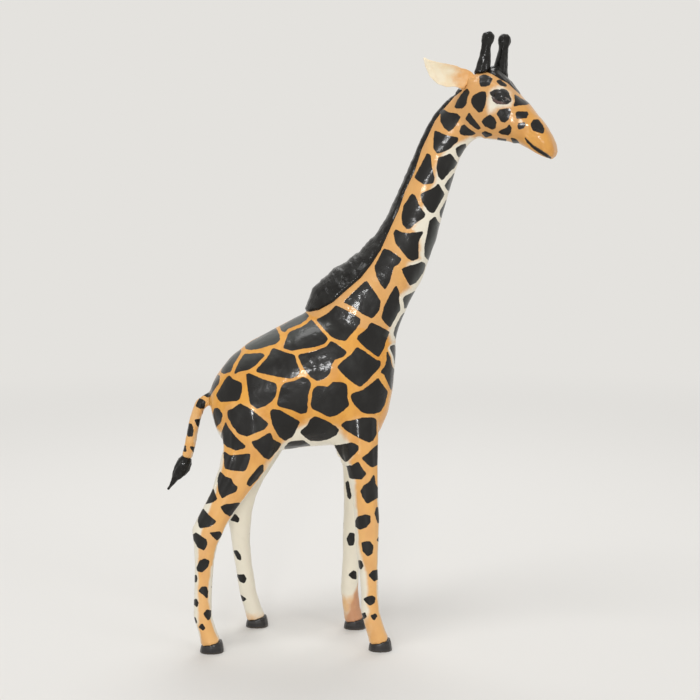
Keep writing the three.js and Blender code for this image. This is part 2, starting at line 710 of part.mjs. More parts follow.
// The box of the whole figure is centred on x = 0 and y = 0
const centred = new THREE.Group();
centred.name = "leather_giraffe";
centred.add(figure);
centred.updateMatrixWorld(true);
const middle = new THREE.Box3().setFromObject(centred, true).getCenter(new THREE.Vector3());
figure.position.set(-middle.x, -middle.y, 0);

export default centred;
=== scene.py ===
"""Looks of a leather-covered toy giraffe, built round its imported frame. It runs inside Blender."""
import json
import math

import bmesh
import bpy
import numpy as np
from mathutils import Matrix, Vector, noise
from mathutils.bvhtree import BVHTree


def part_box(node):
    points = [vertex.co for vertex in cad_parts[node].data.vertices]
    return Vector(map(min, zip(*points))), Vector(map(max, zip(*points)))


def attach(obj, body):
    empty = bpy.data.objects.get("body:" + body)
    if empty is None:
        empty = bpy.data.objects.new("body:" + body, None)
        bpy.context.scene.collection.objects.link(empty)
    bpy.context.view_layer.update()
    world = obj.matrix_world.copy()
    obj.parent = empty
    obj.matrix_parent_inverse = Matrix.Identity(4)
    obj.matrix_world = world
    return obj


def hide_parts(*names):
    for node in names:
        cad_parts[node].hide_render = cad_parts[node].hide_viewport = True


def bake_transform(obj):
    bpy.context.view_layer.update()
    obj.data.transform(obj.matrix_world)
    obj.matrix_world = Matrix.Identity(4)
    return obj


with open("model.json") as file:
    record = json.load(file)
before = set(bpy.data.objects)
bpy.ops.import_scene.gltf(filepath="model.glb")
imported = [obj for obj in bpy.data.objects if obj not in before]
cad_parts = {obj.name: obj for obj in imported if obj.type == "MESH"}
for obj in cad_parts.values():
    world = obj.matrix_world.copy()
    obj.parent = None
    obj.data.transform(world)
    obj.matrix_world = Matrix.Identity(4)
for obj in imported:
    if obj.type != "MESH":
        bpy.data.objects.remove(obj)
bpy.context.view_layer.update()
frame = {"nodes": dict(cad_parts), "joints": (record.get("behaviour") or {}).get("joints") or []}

# Lengths below are millimetres unless a name says otherwise; Blender's are metres
MM = 0.001

# The photograph's frame in pixels, and the camera that stands for it
FRAME_PIXELS = 700
FOCAL_PIXELS = 1326
SENSOR = 36
TARGET = np.array((-5.5, 0, 223.5))
ELEVATION = math.radians(6)
DISTANCE = 1000
FORWARD = np.array((0, math.cos(ELEVATION), -math.sin(ELEVATION)))
UPWARD = np.array((0, math.sin(ELEVATION), math.cos(ELEVATION)))
STANDPOINT = TARGET - DISTANCE * FORWARD
PIXEL = DISTANCE / FOCAL_PIXELS

# Nodes of the frame
LEGS = ("front_right", "front_left", "hind_right", "hind_left")
LEG_NODES = [f"{leg}_leg_leather" for leg in LEGS]
HIDE_NODES = ["body_leather", "neck_leather", "head_leather", *LEG_NODES]
TAIL_NODES = ["tail_dock", "tail_leather"]
COAT_NODES = [*HIDE_NODES, *TAIL_NODES]
CORE_NODES = [name.replace("leather", "core") for name in HIDE_NODES]
LEG_WIRES = [f"{leg}_leg_wire" for leg in LEGS]
BODY, NECK, HEAD = range(3)
HIND_LABELS = [HIDE_NODES.index(name) for name in LEG_NODES if "hind" in name]
SIDES = {"right": -1, "left": 1}

# Mesh sizes
HIDE_VOXEL = 1.2
HORN_VOXEL = 0.55
LID_VOXEL = 0.35
EAR_VOXEL = 0.45
HOOF_VOXEL = 0.6
TUFT_VOXEL = 0.5
WELD = 0.001

# How far leather stands off, sinks in or swells
HIDE_SWELL = 0.3
HAUNCH_SWELL = 2.6
ELBOW_FULLNESS = 4.6
JAW_FULLNESS = 0.9
FOREHEAD_FLAT = 0.7
NOSTRIL_DEPTH = 0.9
NOSTRIL_RIM = 0.4
MOUTH_DEPTH = 0.9
LIP_RISE = 0.35
MANE_RISE = 2.0
STRIP_RISE = 1.7
SADDLE_RISE = 2.2
LAYER_SINK = 0.7
LAYER_BODY = 0.6
HORN_FLARE = 1.8

# Places and reaches: heights are z, cuts across the tail are x
NECK_BASE = (210, 330)
HAUNCH_HEIGHT = 138
HAUNCH_REACH = 16
ELBOW_FOLD = [(-13.5, 155), (-10.7, 149), (-7.7, 143)]
ELBOW_ASIDE = 18
SADDLE_HEIGHT = 430
SADDLE_REACH = (6.5, 2)
FLARE_HEIGHTS = (448, 432)
WIRE_STOP = 8
TAIL_CUT = -111.8
SWAY_CUT = -117.2
TAIL_BEND_END = -123
TAIL_LAP = 1
SWAY_LAP = 0.5
EAR_SOCKET = 4
EAR_BEND = (2, 9)
EYE_BED = 5.2
EYE_BED_DEPTH = 2

# Shares: how far the ear's root widens, the lid covers the eye, and the eye and lid lean
EAR_ROOT_SPREAD = 0.7
LID_DROP = 0.3
LID_SLANT = 0.36
LID_LEAN = 0.18
EYE_LEAN = (0.25, 0, 0.12)

# Shares of the smoothing steps and of the cut at an outline's corner
SHRINK = 0.5
REGROW = 0.53
CORNER_CUT = 0.08

# The plain line along the figure's middle: half its width, and what it gains at places
MIDLINE = 1.3
MIDLINE_WAVER = 1.6
MIDLINE_FRONT = 0.9
MIDLINE_ENDS = 3.2
MIDLINE_RUMP = 3.5
RUMP_HEIGHTS = (195, 180)

# Where the coat changes: heights, and millimetres that patches keep off or spread
TRUNK_SPREAD = 0.3
EDGE_WAVE = 5
UNDER_HEIGHT = 130
UNDER_CLEAR = 9
LEG_EDGE = 7
LEG_FADE = (178, 140)
PALE_HEIGHTS = (175, 120)
PEACH_HEIGHTS = (150, 90)
ANKLES = {"front": (36, 20), "hind": (18, 5)}
RUST_HEIGHTS = (30, 16)
RUST_SLANT = 1.8
RUST_WAVER = 6

# Reading a leg's middle line: heights, and the reach of each reading
LEG_STEPS = np.arange(10, 190, 6)
LEG_STEP_REACH = 9

# Where the head's turn sets in: ahead of the poll, and by height
TURN_AHEAD = (-8, 8)
TURN_HEIGHTS = (360, 385)
EYE_FORWARD = 32.6

# Studio, in metres and watts: place, width, height and power of each lamp, and whether the gloss shows it
LIGHT_AIM = (0, 0, 0.23)
LIGHTS = {
    "key": ((-0.25, -3.0, 0.55), 0.45, 0.3, 26, True),
    "sky": ((-0.8, -1.0, 2.9), 1.3, 1.3, 26, True),
    "fill": ((1.9, -1.6, 0.9), 1.0, 1.0, 7, False),
    "back": ((0, 0.9, 1.6), 1.2, 1.2, 10, True),
}
WORLD_STRENGTH = 0.5
FLOOR_HALF = 8
FLOOR_FADE = (0.5, 1.8)

# The least gap between neighbouring patches as drawn, in the photograph's pixels
PATCH_GAP = 5.2

# Patches of the coat: outlines in the photograph's pixels, on the side that it shows
NECK_PATCHES = {
    "base_diamond": [(344, 302), (366, 281), (372, 289), (380, 301), (379, 310), (372, 318),
        (362, 313), (353, 306)],
    "lower_back": [(375, 267), (379, 259), (384, 249), (390, 251), (401, 259), (399, 263),
        (393, 267), (391, 275), (389, 282), (385, 289), (381, 284), (377, 276)],
    "lower_front": [(382, 318), (384, 308), (390, 296), (396, 286), (399, 293), (401, 308),
        (396, 318), (390, 327), (385, 322)],
    "front_low": [(402, 269), (421, 262), (425, 264), (423, 272), (416, 282), (410, 285), (405, 276)],
    "front_low_edge": [(402, 298), (415, 292), (418, 294), (409, 308), (404, 309)],
    "base_edge": [(401, 315), (406, 312), (402, 326), (396, 338), (394, 334), (396, 325.5)],
    "mid_back": [(394, 233), (396, 230), (402, 233), (415, 233), (423, 232), (418, 241), (418, 259),
        (413, 261), (408, 258), (401, 249), (396, 243)],
    "mid_front": [(430, 221), (435, 217), (440, 223), (439, 230), (435, 243), (430, 255), (428, 259),
        (425, 256), (425, 247), (428, 232)],
    "upper_mid_back": [(402, 217), (404, 206), (412, 194), (415, 196), (418, 204), (425, 213),
        (424, 217), (415, 223), (408, 230), (403, 224)],
    "upper_mid_front": [(421, 194), (433, 189), (438, 184), (444, 194), (443, 198), (438, 207),
        (433, 213), (427, 210), (423, 203)],
    "front_edge_mid": [(440, 210), (447, 198), (449, 204), (444, 219), (441, 220)],
    "front_edge_upper": [(445, 186), (448, 181), (454, 173), (453, 187), (448, 190)],
    "triangle_back": [(415, 177), (421, 166), (427, 154), (430, 155), (431, 166), (434, 177),
        (433, 183), (424, 184), (418, 180)],
    "upper_front": [(437, 166), (439, 158), (450, 154), (456, 160), (457, 164), (448, 174),
        (442, 180), (438, 175)],
    "top_back": [(434, 140), (435, 131), (447, 136), (458, 138), (457, 142), (450, 148), (443, 152),
        (437, 153), (434, 148)],
    "throat_edge": [(456, 148), (465, 144), (466, 148), (463, 156), (458, 158)],
}
HEAD_PATCHES = {
    "below_horn": [(480, 76), (485, 75), (490, 77), (492, 79), (489, 85), (485, 86), (481, 86),
        (480, 83)],
    "eye": [(490, 92.8), (494.5, 90.2), (499, 89.2), (504, 90.8), (508, 95.8), (510.8, 101.2),
        (507.5, 103.4), (503, 104), (498.2, 102.2), (494, 98.2)],
    "brow": [(497, 81), (500, 80), (506, 85), (506, 86), (501, 86)],
    "nose_bridge": [(515, 95), (521, 99), (528, 102), (528, 104), (518, 105), (514, 106), (515, 101)],
    "nape": [(455, 107), (458, 100), (463, 93), (467, 89), (469, 92), (468, 99), (465, 105),
        (462, 108), (457, 108)],
    "cheek_upper": [(470, 99), (475, 95), (481, 92), (485, 92), (486, 95), (485, 104), (482, 111),
        (479, 112), (474, 107)],
    "under_eye": [(497, 114), (500, 110), (505, 109), (510, 109), (510, 113), (508, 119), (505, 122),
        (501, 121), (499, 118)],
    "cheek_mid": [(482, 122), (484, 119), (490, 115), (495, 119), (496, 122), (495, 128), (492, 129),
        (489, 129), (484, 125)],
    "nose_square": [(516, 113), (518, 112), (527, 112), (528, 114), (526, 118), (520, 119), (517, 118)],
    "nose_dot": [(518, 126), (519, 123), (524, 122), (525, 125), (523, 128), (519, 129)],
    "jaw": [(499, 132), (502, 130), (507, 128), (509, 125), (511, 128), (510, 133), (508, 135),
        (501, 135)],
    "jaw_back": [(466, 119), (469, 113), (474, 120), (480, 127), (481, 129), (477, 130), (471, 126)],
    "throat": [(460, 131), (462, 126), (465, 125), (471, 129), (476, 133), (472, 135), (465, 135),
        (461, 134)],
    "cheek_low_back": [(441, 113), (444, 110), (448, 113), (457, 114), (460, 117), (456, 124),
        (452, 129), (449, 131), (444, 127), (441, 121)],
    "jaw_under_back": [(481, 132), (487, 131), (492, 135), (486, 137)],
    "jaw_under_mid": [(498, 137), (506, 139), (505, 142), (498, 141)],
    "jaw_under_front": [(511, 138), (515, 139), (519, 143), (514, 144)],
}
NOSTRIL = [(531, 124), (534, 120), (538, 120), (542, 125), (544, 129), (543, 133), (539, 132),
    (533, 130)]
MOUTH = [(525, 137.8), (528.5, 141.6), (533.4, 146), (540, 150), (545.8, 153.7), (551, 157.6),
    (549.9, 158.4), (543.9, 155.2), (538.4, 151.8), (532, 146.8), (527.3, 142)]
BODY_PATCHES = {
    "withers": [(280, 330), (283, 320), (300, 306), (308, 316), (307, 320), (297, 325), (285, 331)],
    "back_mid": [(246, 348), (248, 338), (262, 329), (278, 330), (279, 340), (275, 343), (268, 345),
        (258, 348), (251, 349)],
    "back_rear": [(222, 372), (222, 358), (234, 345), (240, 350), (240, 354), (233, 363), (230, 371),
        (225, 373)],
    "croup": [(203, 396), (203, 384), (213, 371), (219, 376), (218, 383), (213, 390), (208, 397)],
    "croup_inner": [(235, 373), (243, 355), (262, 354), (264, 356), (259, 362), (248, 369), (238, 371)],
    "rump": [(217, 395), (220, 390), (225, 381), (229, 376), (232, 380), (238, 382), (241, 384),
        (241, 391), (239, 398), (237, 400), (221, 401), (219, 399)],
    "loin": [(257, 371), (262, 363), (269, 357), (273, 349), (279, 351), (290, 354), (294, 356),
        (296, 364), (299, 370), (298, 374), (292, 378), (279, 376), (265, 373)],
    "back_upper": [(284, 348), (289, 334), (290, 331), (303, 327), (310, 320), (315, 324),
        (324, 334), (327, 339), (325, 343), (315, 346), (301, 348), (290, 350)],
    "shoulder_top": [(317, 320), (328, 314), (336, 306), (343, 309), (360, 319), (359, 324),
        (352, 332), (345, 340), (339, 339), (332, 336), (324, 329)],
    "shoulder_right": [(358, 339), (359, 336), (366, 331), (371, 323), (380, 327), (389, 332),
        (385, 341), (383, 348), (378, 357), (374, 354), (367, 348)],
    "side_big": [(299, 356), (301, 355), (315, 352), (325, 348), (331, 342), (335, 344), (346, 352),
        (343, 356), (334, 359), (331, 364), (329, 373), (324, 378), (317, 380), (311, 376), (304, 367)],
    "shoulder_left": [(338, 367), (343, 362), (352, 355), (357, 348), (364, 352), (380, 362),
        (379, 367), (373, 373), (367, 380), (360, 386), (355, 383), (346, 376)],
    "flank_mid": [(247, 375), (249, 374), (262, 380), (275, 384), (276, 387), (275, 395), (271, 401),
        (265, 405), (257, 408), (251, 404), (249, 391)],
    "barrel_mid": [(278, 404), (279, 398), (282, 387), (285, 384), (296, 381), (303, 378),
        (308, 380), (310, 384), (309, 390), (307, 395), (307, 406), (306, 412), (301, 413),
        (292, 409), (280, 406)],
    "barrel_front": [(311, 404), (313, 398), (313, 391), (317, 387), (322, 387), (328, 388),
        (333, 383), (341, 383), (346, 385), (347, 398), (348, 405), (343, 410), (335, 415),
        (329, 416), (321, 412), (313, 408)],
    "breast": [(351, 397), (353, 394), (363, 391), (371, 385), (378, 379), (381, 384), (387, 392),
        (384, 404), (380, 411), (374, 413), (367, 413), (362, 411), (355, 404)],
    "chest_edge": [(381.5, 372), (386, 366), (387.5, 360), (387.5, 352), (391, 357), (392.6, 367),
        (395, 378), (392, 390), (388, 381), (385, 374)],
    "chest_far": [(390.5, 347), (398, 344), (398, 366), (394, 364), (392.6, 356)],
    "hip": [(228, 411), (233, 409), (240, 404), (250, 409), (261, 418), (268, 424), (264, 429),
        (254, 433), (247, 436), (238, 433), (231, 425), (228, 415)],
    "stifle": [(271, 412), (273, 410), (280, 411), (290, 417), (299, 422), (297, 426), (292, 436),
        (285, 440), (279, 436), (273, 425)],
    "belly_mid": [(301, 432), (308, 426), (311, 420), (315, 417), (327, 422), (335, 427), (338, 430),
        (336, 434), (329, 438), (321, 440), (311, 440), (306, 437)],
    "belly_under": [(285, 448), (290, 442.5), (303, 441), (312, 447.5), (312, 455), (286, 455)],
    "elbow": [(342, 425), (346, 422), (356, 420), (363, 418), (373, 418), (376, 420), (376, 434),
        (373, 440), (369, 442), (362, 439), (353, 434), (345, 429)],
    "buttock": [(213, 419), (215, 409), (218, 409), (222, 415), (220, 422), (216, 426)],
    "thigh_back": [(221, 437), (223, 430), (226, 422), (230, 429), (237, 439), (245, 446),
        (244, 448), (236, 450), (227, 446), (222, 441)],
    "thigh_front": [(252, 442), (258, 440), (270, 433), (273, 440), (281, 444), (276, 451),
        (269, 459), (264, 457), (259, 451), (254, 446)],
}
LEG_PATCHES = {
    "thigh_mid": [(224, 452), (230, 456), (250, 454), (249, 460), (246, 469), (243, 471), (232, 470),
        (225, 468)],
    "thigh_low_back": [(218, 480), (220, 472), (225, 477), (231, 479), (233, 484), (237, 487),
        (236, 491), (227, 495), (222, 498), (219, 492)],
    "thigh_low_front": [(247, 484), (249, 479), (260, 466), (263, 465), (263, 471), (257, 479),
        (250, 486)],
    "gaskin_back": [(203, 504), (209, 496), (213, 489), (215, 494), (217, 499), (212, 502)],
    "gaskin_front": [(221, 507), (225, 505), (240, 503), (236, 510), (230, 516), (225, 513)],
    "hock": [(198, 521), (200, 513), (203, 509), (208, 515), (216, 522), (210, 526), (200, 528)],
    "hock_front": [(210, 533), (220, 532), (222, 535), (217, 540), (214, 537)],
    "below_hock": [(192, 536), (196, 533), (206, 540), (207, 544), (204, 550), (198, 547)],
    "hind_cannon_upper": [(197, 568), (200, 561), (205, 559), (209, 561), (208, 566), (202, 572),
        (198, 571)],
    "hind_edge_upper": [(192, 580), (196, 575), (197, 578), (196, 582)],
    "hind_cannon_mid": [(199, 591), (202, 587), (208, 587), (207, 598), (203, 594)],
    "hind_edge_lower": [(192, 602), (196, 599), (198, 603), (197, 607)],
    "hind_front_edge": [(210, 587), (215, 583), (215, 589)],
    "hind_cannon_low": [(204, 614), (207, 610), (211, 611), (210, 618), (208, 620)],
    "hind_fetlock": [(199, 627), (202, 624), (205, 628), (203, 630)],
    "hind_edge_foot": [(193, 620), (195, 617.5), (196.5, 622), (195, 625)],
    "elbow_low": [(335, 446), (342, 445), (352, 443), (358, 446), (358, 450), (350, 458), (346, 462),
        (342, 458), (338, 451)],
    "forearm_right": [(362, 458), (368, 454), (374, 448), (379, 444), (380, 463), (372, 467),
        (368, 464)],
    "forearm_left": [(345, 468), (346, 466), (352, 466), (358, 462), (362, 469), (366, 474),
        (361, 479), (350, 478), (347, 472)],
    "forearm_drop": [(361, 491), (364, 486), (370, 482), (374, 475), (375, 484), (379, 490),
        (378, 497), (370, 502), (367, 503), (363, 497)],
    "front_edge_upper": [(375, 513), (377, 507), (382, 514), (382, 520), (378, 523)],
    "knee": [(355, 522), (358, 517), (365, 515), (370, 516), (370, 522), (366, 527), (360, 529),
        (355, 526)],
    "front_edge_lower": [(377, 540), (381, 534), (381, 543)],
    "knee_low": [(362, 543), (365, 542), (370, 542), (373, 546), (372, 553), (368, 556), (363, 551)],
    "front_cannon_back": [(358, 561), (361, 561), (363, 566), (361, 569), (358, 566)],
    "front_cannon_front": [(369, 575), (373, 571), (379, 570), (379, 578), (374, 581)],
    "front_cannon_low": [(364, 599), (368, 597), (372, 596), (375, 598), (374, 603), (370, 605),
        (366, 602)],
    "front_fetlock_back": [(362, 614), (365, 613), (366, 617), (363, 619)],
    "front_fetlock_front": [(371, 616), (375, 614), (377, 616), (374, 620)],
}
INNER_LEG_PATCHES = {
    "hind_gaskin": [(231, 520), (235, 514), (239, 519), (238, 522)],
    "hind_hock": [(234, 551), (237, 551), (240, 555), (241, 560), (238, 559)],
    "hind_cannon": [(237, 575), (244, 575), (246, 579), (244, 583), (240, 581)],
    "hind_low": [(240, 595), (246, 599), (243, 601)],
    "front_forearm": [(346, 483), (348, 481), (351, 496), (350, 499), (348, 497)],
    "front_knee": [(347, 539), (350, 533), (354, 534), (354, 541), (353, 545), (349, 545)],
    "front_cannon": [(349, 575), (353, 571), (356, 572), (356, 579), (352, 578)],
}
TAIL_PATCHES = {
    "root": [(196, 406), (200, 398), (203, 399), (205, 402), (204, 408), (200, 408)],
    "upper_front": [(195, 420), (202, 419), (201, 424), (199, 427), (196, 424)],
    "upper_back": [(186, 427), (189, 424), (192, 424), (193, 431), (192, 436), (188, 436)],
    "lower_front": [(190, 447), (192, 447), (196, 448), (194, 452)],
    "lower_back": [(183, 447), (186, 446), (186, 451), (184, 451)],
}

# Where the coat fades to cream, in the photograph's pixels, each with the width of its soft edge
CREAM_ZONES = {
    "throat_and_neck": (6, [(470, 137), (446, 150), (437, 165), (434, 185), (424, 205), (419, 219),
        (413, 229), (420, 240), (420, 258), (409, 263), (406, 270), (411, 288), (398, 297),
        (398, 310), (391, 322), (388, 333), (392, 345), (404, 330), (424, 280), (445, 230),
        (456, 190), (478, 140)]),
    "eye": (7, [(492, 89), (498, 86.5), (505, 88), (510, 93), (513, 101), (511, 107), (505, 105.5),
        (497, 108), (492, 112), (488.5, 114), (487.5, 107), (488.5, 99)]),
    "belly": (9, [(262, 474), (278, 448), (296, 428), (312, 421), (340, 430), (352, 446), (346, 474)]),
    "chest": (2, [(388, 348), (393, 342), (399, 344), (399, 382), (394.5, 374), (391.5, 358)]),
    "hind_back_edge": (3, [(212, 424), (222.5, 434), (224, 452), (221.5, 472), (216, 490),
        (212, 503), (209, 511), (204, 523), (201, 533), (198.5, 545), (198, 600), (198.5, 625),
        (184, 640), (184, 520), (200, 490), (206, 450)]),
    "hind_front_edge": (2.5, [(211.5, 566), (208.5, 586), (208.5, 602), (211, 614), (213, 626),
        (218, 634), (224, 634), (224, 566)]),
    "fore_back_edge": (4, [(338, 446), (349, 462), (355, 470), (356, 500), (357, 540), (362, 558),
        (366, 572), (367.5, 590), (366.5, 602), (369.5, 610), (370, 620), (372.5, 628), (371, 636),
        (364, 640), (348, 640), (346, 470), (332, 450)]),
    "fore_front_edge": (2, [(378.5, 570), (376.8, 584), (377.5, 600), (379, 613), (386, 613),
        (386, 570)]),
}

# Leather laid over the hide, in the photograph's pixels: the lower edge first, then round outside the figure
MANE_EDGE = [(296, 311), (304, 311), (310, 312), (319.5, 310), (333, 302.5), (347, 290), (361, 278),
    (372, 264), (381, 250), (387, 236.5), (393, 223), (399, 210), (405, 192), (415, 171), (422, 149),
    (430.5, 131), (435, 121.3), (443.8, 109.2), (454.6, 97), (463, 91)]
MANE_OUTSIDE = [(452, 74), (400, 140), (290, 240), (276, 300)]
STRIP_EDGE = [(472, 72.5), (478, 71), (486, 72), (493, 75), (500, 79.5), (507, 84), (515, 91.5),
    (523, 98.5)]
STRIP_OUTSIDE = [(536, 94), (515, 50), (470, 50)]

# Lines where the forehead is flatter and the jaw fuller, in the photograph's pixels
FOREHEAD_LINE = [(509, 80), (523, 96)]
JAW_LINE = [(488, 139), (512, 143)]

# Painted highlights: pale strokes along the rim of the lower lid, in the photograph's pixels
LID_GLINTS = [[(491.5, 95.5), (494, 98.5)], [(505.5, 97.5), (510, 100.5)]]


# Small tools

def smoothstep(low, high, value):
    share = np.clip((value - low) / (high - low), 0, 1)
    return share * share * (3 - 2 * share)


def node_points(name):
    """Vertices of a CAD node in millimetres"""
    return np.array([vertex.co for vertex in frame["nodes"][name].data.vertices]) / MM


def middle_of(name):
    low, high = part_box(name)
    return np.array((low + high) / 2) / MM


def to_photo(points):
    """Pixels of the photograph's frame for points in millimetres"""
    rays = points - STANDPOINT
    depth = rays @ FORWARD
    across = FRAME_PIXELS / 2 + FOCAL_PIXELS * rays[:, 0] / depth
    down = FRAME_PIXELS / 2 - FOCAL_PIXELS * (rays @ UPWARD) / depth
    return np.column_stack((across, down))


def rounded(outline):
    """A closed outline with its corners cut once"""
    points = np.array(outline, float)
    after = np.roll(points, -1, axis=0)
    kept = 1 - CORNER_CUT
    near_start = kept * points + CORNER_CUT * after
    near_end = CORNER_CUT * points + kept * after
    return np.stack((near_start, near_end), 1).reshape(-1, 2)


def edge_distance(pixels, starts, ends):
    """Distance to the nearest of some straight edges"""
    edges = ends - starts
    offsets = pixels[:, None, :] - starts
    share = np.clip((offsets * edges).sum(-1) / (edges ** 2).sum(-1), 0, 1)
    return np.linalg.norm(offsets - share[..., None] * edges, axis=-1).min(1)


def line_distance(pixels, line):
    """Distance to an open line of points"""
    points = np.array(line, float)
    return edge_distance(pixels, points[:-1], points[1:])


def outline_distance(pixels, outline):
    """Signed distance to a closed outline, below zero inside it"""
    starts = outline
    ends = np.roll(outline, -1, axis=0)
    above = starts[:, 1] > pixels[:, 1:]
    spans = above != (ends[:, 1] > pixels[:, 1:])
    rise = np.where(ends[:, 1] == starts[:, 1], 1, ends[:, 1] - starts[:, 1])
    crossing = starts[:, 0] + (pixels[:, 1:] - starts[:, 1]) * (ends[:, 0] - starts[:, 0]) / rise
    inside = (spans & (pixels[:, :1] < crossing)).sum(1) % 2 == 1
    return np.where(inside, -1, 1) * edge_distance(pixels, starts, ends)


def nearest_outline(pixels, outlines, reach=14):
    """Signed distance to the nearest of several outlines, with a gap kept between neighbours"""
    nearest = np.full(len(pixels), float(reach))
    second = nearest.copy()
    for outline in outlines:
        shape = rounded(outline)
        near = np.all((pixels > shape.min(0) - reach) & (pixels < shape.max(0) + reach), axis=1)
        if near.any():
            here = outline_distance(pixels[near], shape)
            second[near] = np.minimum(second[near], np.maximum(nearest[near], here))
            nearest[near] = np.minimum(nearest[near], here)
    return np.maximum(nearest, (PATCH_GAP - second + nearest) / 2)


def lumps(points, size, seed=0):
    """Smooth noise from -1 to 1 with bumps of that size"""
    shift = Vector((seed * 17.3, seed * 7.1, seed * 3.7))
    return np.array([noise.noise(Vector(point) / size + shift) for point in points])


# Meshes

class Surface:
    """A mesh with its vertices in millimetres, and the rules that move them"""

    def __init__(self, mesh):
        self.mesh = mesh
        self.points = np.empty(len(mesh.vertices) * 3)
        mesh.vertices.foreach_get("co", self.points)
        self.points = self.points.reshape(-1, 3) / MM
        pairs = np.empty(len(mesh.edges) * 2, int)
        mesh.edges.foreach_get("vertices", pairs)
        self.starts, self.ends = pairs.reshape(-1, 2).T
        self.counts = np.maximum(np.bincount(pairs, minlength=len(self.points)), 1)

    def around(self, values):
        """The mean of each vertex's neighbours"""
        size = len(self.points)
        ahead = np.bincount(self.starts, values[self.ends], size)
        behind = np.bincount(self.ends, values[self.starts], size)
        return (ahead + behind) / self.counts

    def drift(self):
        """The way from each vertex to the middle of its neighbours"""
        return np.column_stack([self.around(self.points[:, axis]) for axis in range(3)]) - self.points

    def even_out(self, rounds):
        """Smooths facets away and keeps the volume"""
        for _ in range(rounds):
            self.points += SHRINK * self.drift()
            self.points -= REGROW * self.drift()

    def spread(self, values, rounds):
        """Values blurred over the surface"""
        for _ in range(rounds):
            values = values + SHRINK * (self.around(values) - values)
        return values

    def soften(self, rounds, weight):
        """Evens out broad facets where the weight is high and keeps the volume"""
        smooth = np.column_stack([self.spread(column, rounds) for column in self.points.T])
        rest = np.column_stack([self.spread(column, rounds) for column in (self.points - smooth).T])
        self.points += weight[:, None] * (smooth + rest - self.points)

    def fill(self, rounds, weight):
        """Fills inner corners where the weight is high, and leaves outer ones"""
        for turn in range(rounds):
            if turn % 6 == 0:
                normals = self.normals()
            way = self.drift()
            outward = (way * normals).sum(1) > 0
            self.points += SHRINK * (weight * outward)[:, None] * way

    def normals(self):
        self.write()
        flat = np.empty(len(self.points) * 3)
        self.mesh.vertex_normals.foreach_get("vector", flat)
        return flat.reshape(-1, 3)

    def push(self, distance):
        self.points += self.normals() * np.reshape(distance, (-1, 1))

    def write(self):
        self.mesh.vertices.foreach_set("co", (self.points * MM).ravel())
        self.mesh.update()

    def paint(self, name, values):
        """Keeps one number for each vertex, for the material to read"""
        layer = self.mesh.attributes.new(name, "FLOAT", "POINT")
        layer.data.foreach_set("value", np.asarray(values, np.float32))


def gathered(names, floor=None):
    """One mesh of several CAD nodes, cut off and closed below a height"""
    form = bmesh.new()
    for name in names:
        form.from_mesh(frame["nodes"][name].data)
    if floor is not None:
        bmesh.ops.remove_doubles(form, verts=form.verts, dist=WELD * MM)
        everything = form.verts[:] + form.edges[:] + form.faces[:]
        level = Vector((0, 0, floor * MM))
        bmesh.ops.bisect_plane(form, geom=everything, plane_co=level, plane_no=(0, 0, 1), clear_inner=True)
        bmesh.ops.holes_fill(form, edges=form.edges, sides=0)
    return finished(form, "gathered")


def finished(form, name):
    mesh = bpy.data.meshes.new(name)
    form.to_mesh(mesh)
    form.free()
    return mesh


def balls(centres, radius):
    form = bmesh.new()
    for centre in centres:
        place = Matrix.Translation(Vector(centre) * MM)
        bmesh.ops.create_icosphere(form, subdivisions=3, radius=radius * MM, matrix=place)
    return finished(form, "balls")


def kept_faces(mesh, keep):
    """An editable copy of a mesh, with only the faces whose vertices are all kept"""
    form = bmesh.new()
    form.from_mesh(mesh)
    lost = [face for face in form.faces if not all(keep[vertex.index] for vertex in face.verts)]
    bmesh.ops.delete(form, geom=lost, context="FACES")
    return form


def part_of(surface, keep):
    """The part of a surface whose vertices are kept"""
    return Surface(finished(kept_faces(surface.mesh, keep), "part"))


def remeshed(meshes, voxel):
    """One even closed mesh round the outside of several"""
    form = bmesh.new()
    for mesh in meshes:
        form.from_mesh(mesh)
    rough = bpy.data.objects.new("rough", finished(form, "rough"))
    bpy.context.scene.collection.objects.link(rough)
    modifier = rough.modifiers.new("even", "REMESH")
    modifier.mode = "VOXEL"
    modifier.voxel_size = voxel * MM
    evaluated = rough.evaluated_get(bpy.context.evaluated_depsgraph_get())
    mesh = bpy.data.meshes.new_from_object(evaluated)
    bpy.data.objects.remove(rough)
    return Surface(mesh)


def layer_on(points, normals, faces, borders, top, bottom, name):
    """A closed layer from a patch of surface: raised by top, sunk by bottom, walled along its borders"""
    count = len(points)
    raised = points + normals * np.reshape(top, (-1, 1))
    sunk = points - normals * np.reshape(bottom, (-1, 1))
    under = [tuple(count + index for index in reversed(face)) for face in faces]
    walls = [(b, a, count + a, count + b) for a, b in borders]
    mesh = bpy.data.meshes.new(name)
    mesh.from_pydata(np.vstack((raised, sunk)) * MM, [], [*faces, *under, *walls])
    return Surface(mesh)


def patch_of(mesh, keep, cuts=0):
    """Points, normals, faces and border edges of the part of a mesh whose vertices are kept"""
    form = kept_faces(mesh, keep)
    if cuts:
        bmesh.ops.subdivide_edges(form, edges=form.edges, cuts=cuts, use_grid_fill=True, smooth=0.3)
    form.normal_update()
    form.verts.index_update()
    points = np.array([vertex.co for vertex in form.verts]) / MM
    normals = np.array([vertex.normal for vertex in form.verts])
    faces = [tuple(vertex.index for vertex in face.verts) for face in form.faces]
    borders = []
    for edge in form.edges:
        if edge.is_boundary:
            loop = edge.link_loops[0]
            borders.append((loop.vert.index, loop.link_loop_next.vert.index))
    form.free()
    return points, normals, faces, borders


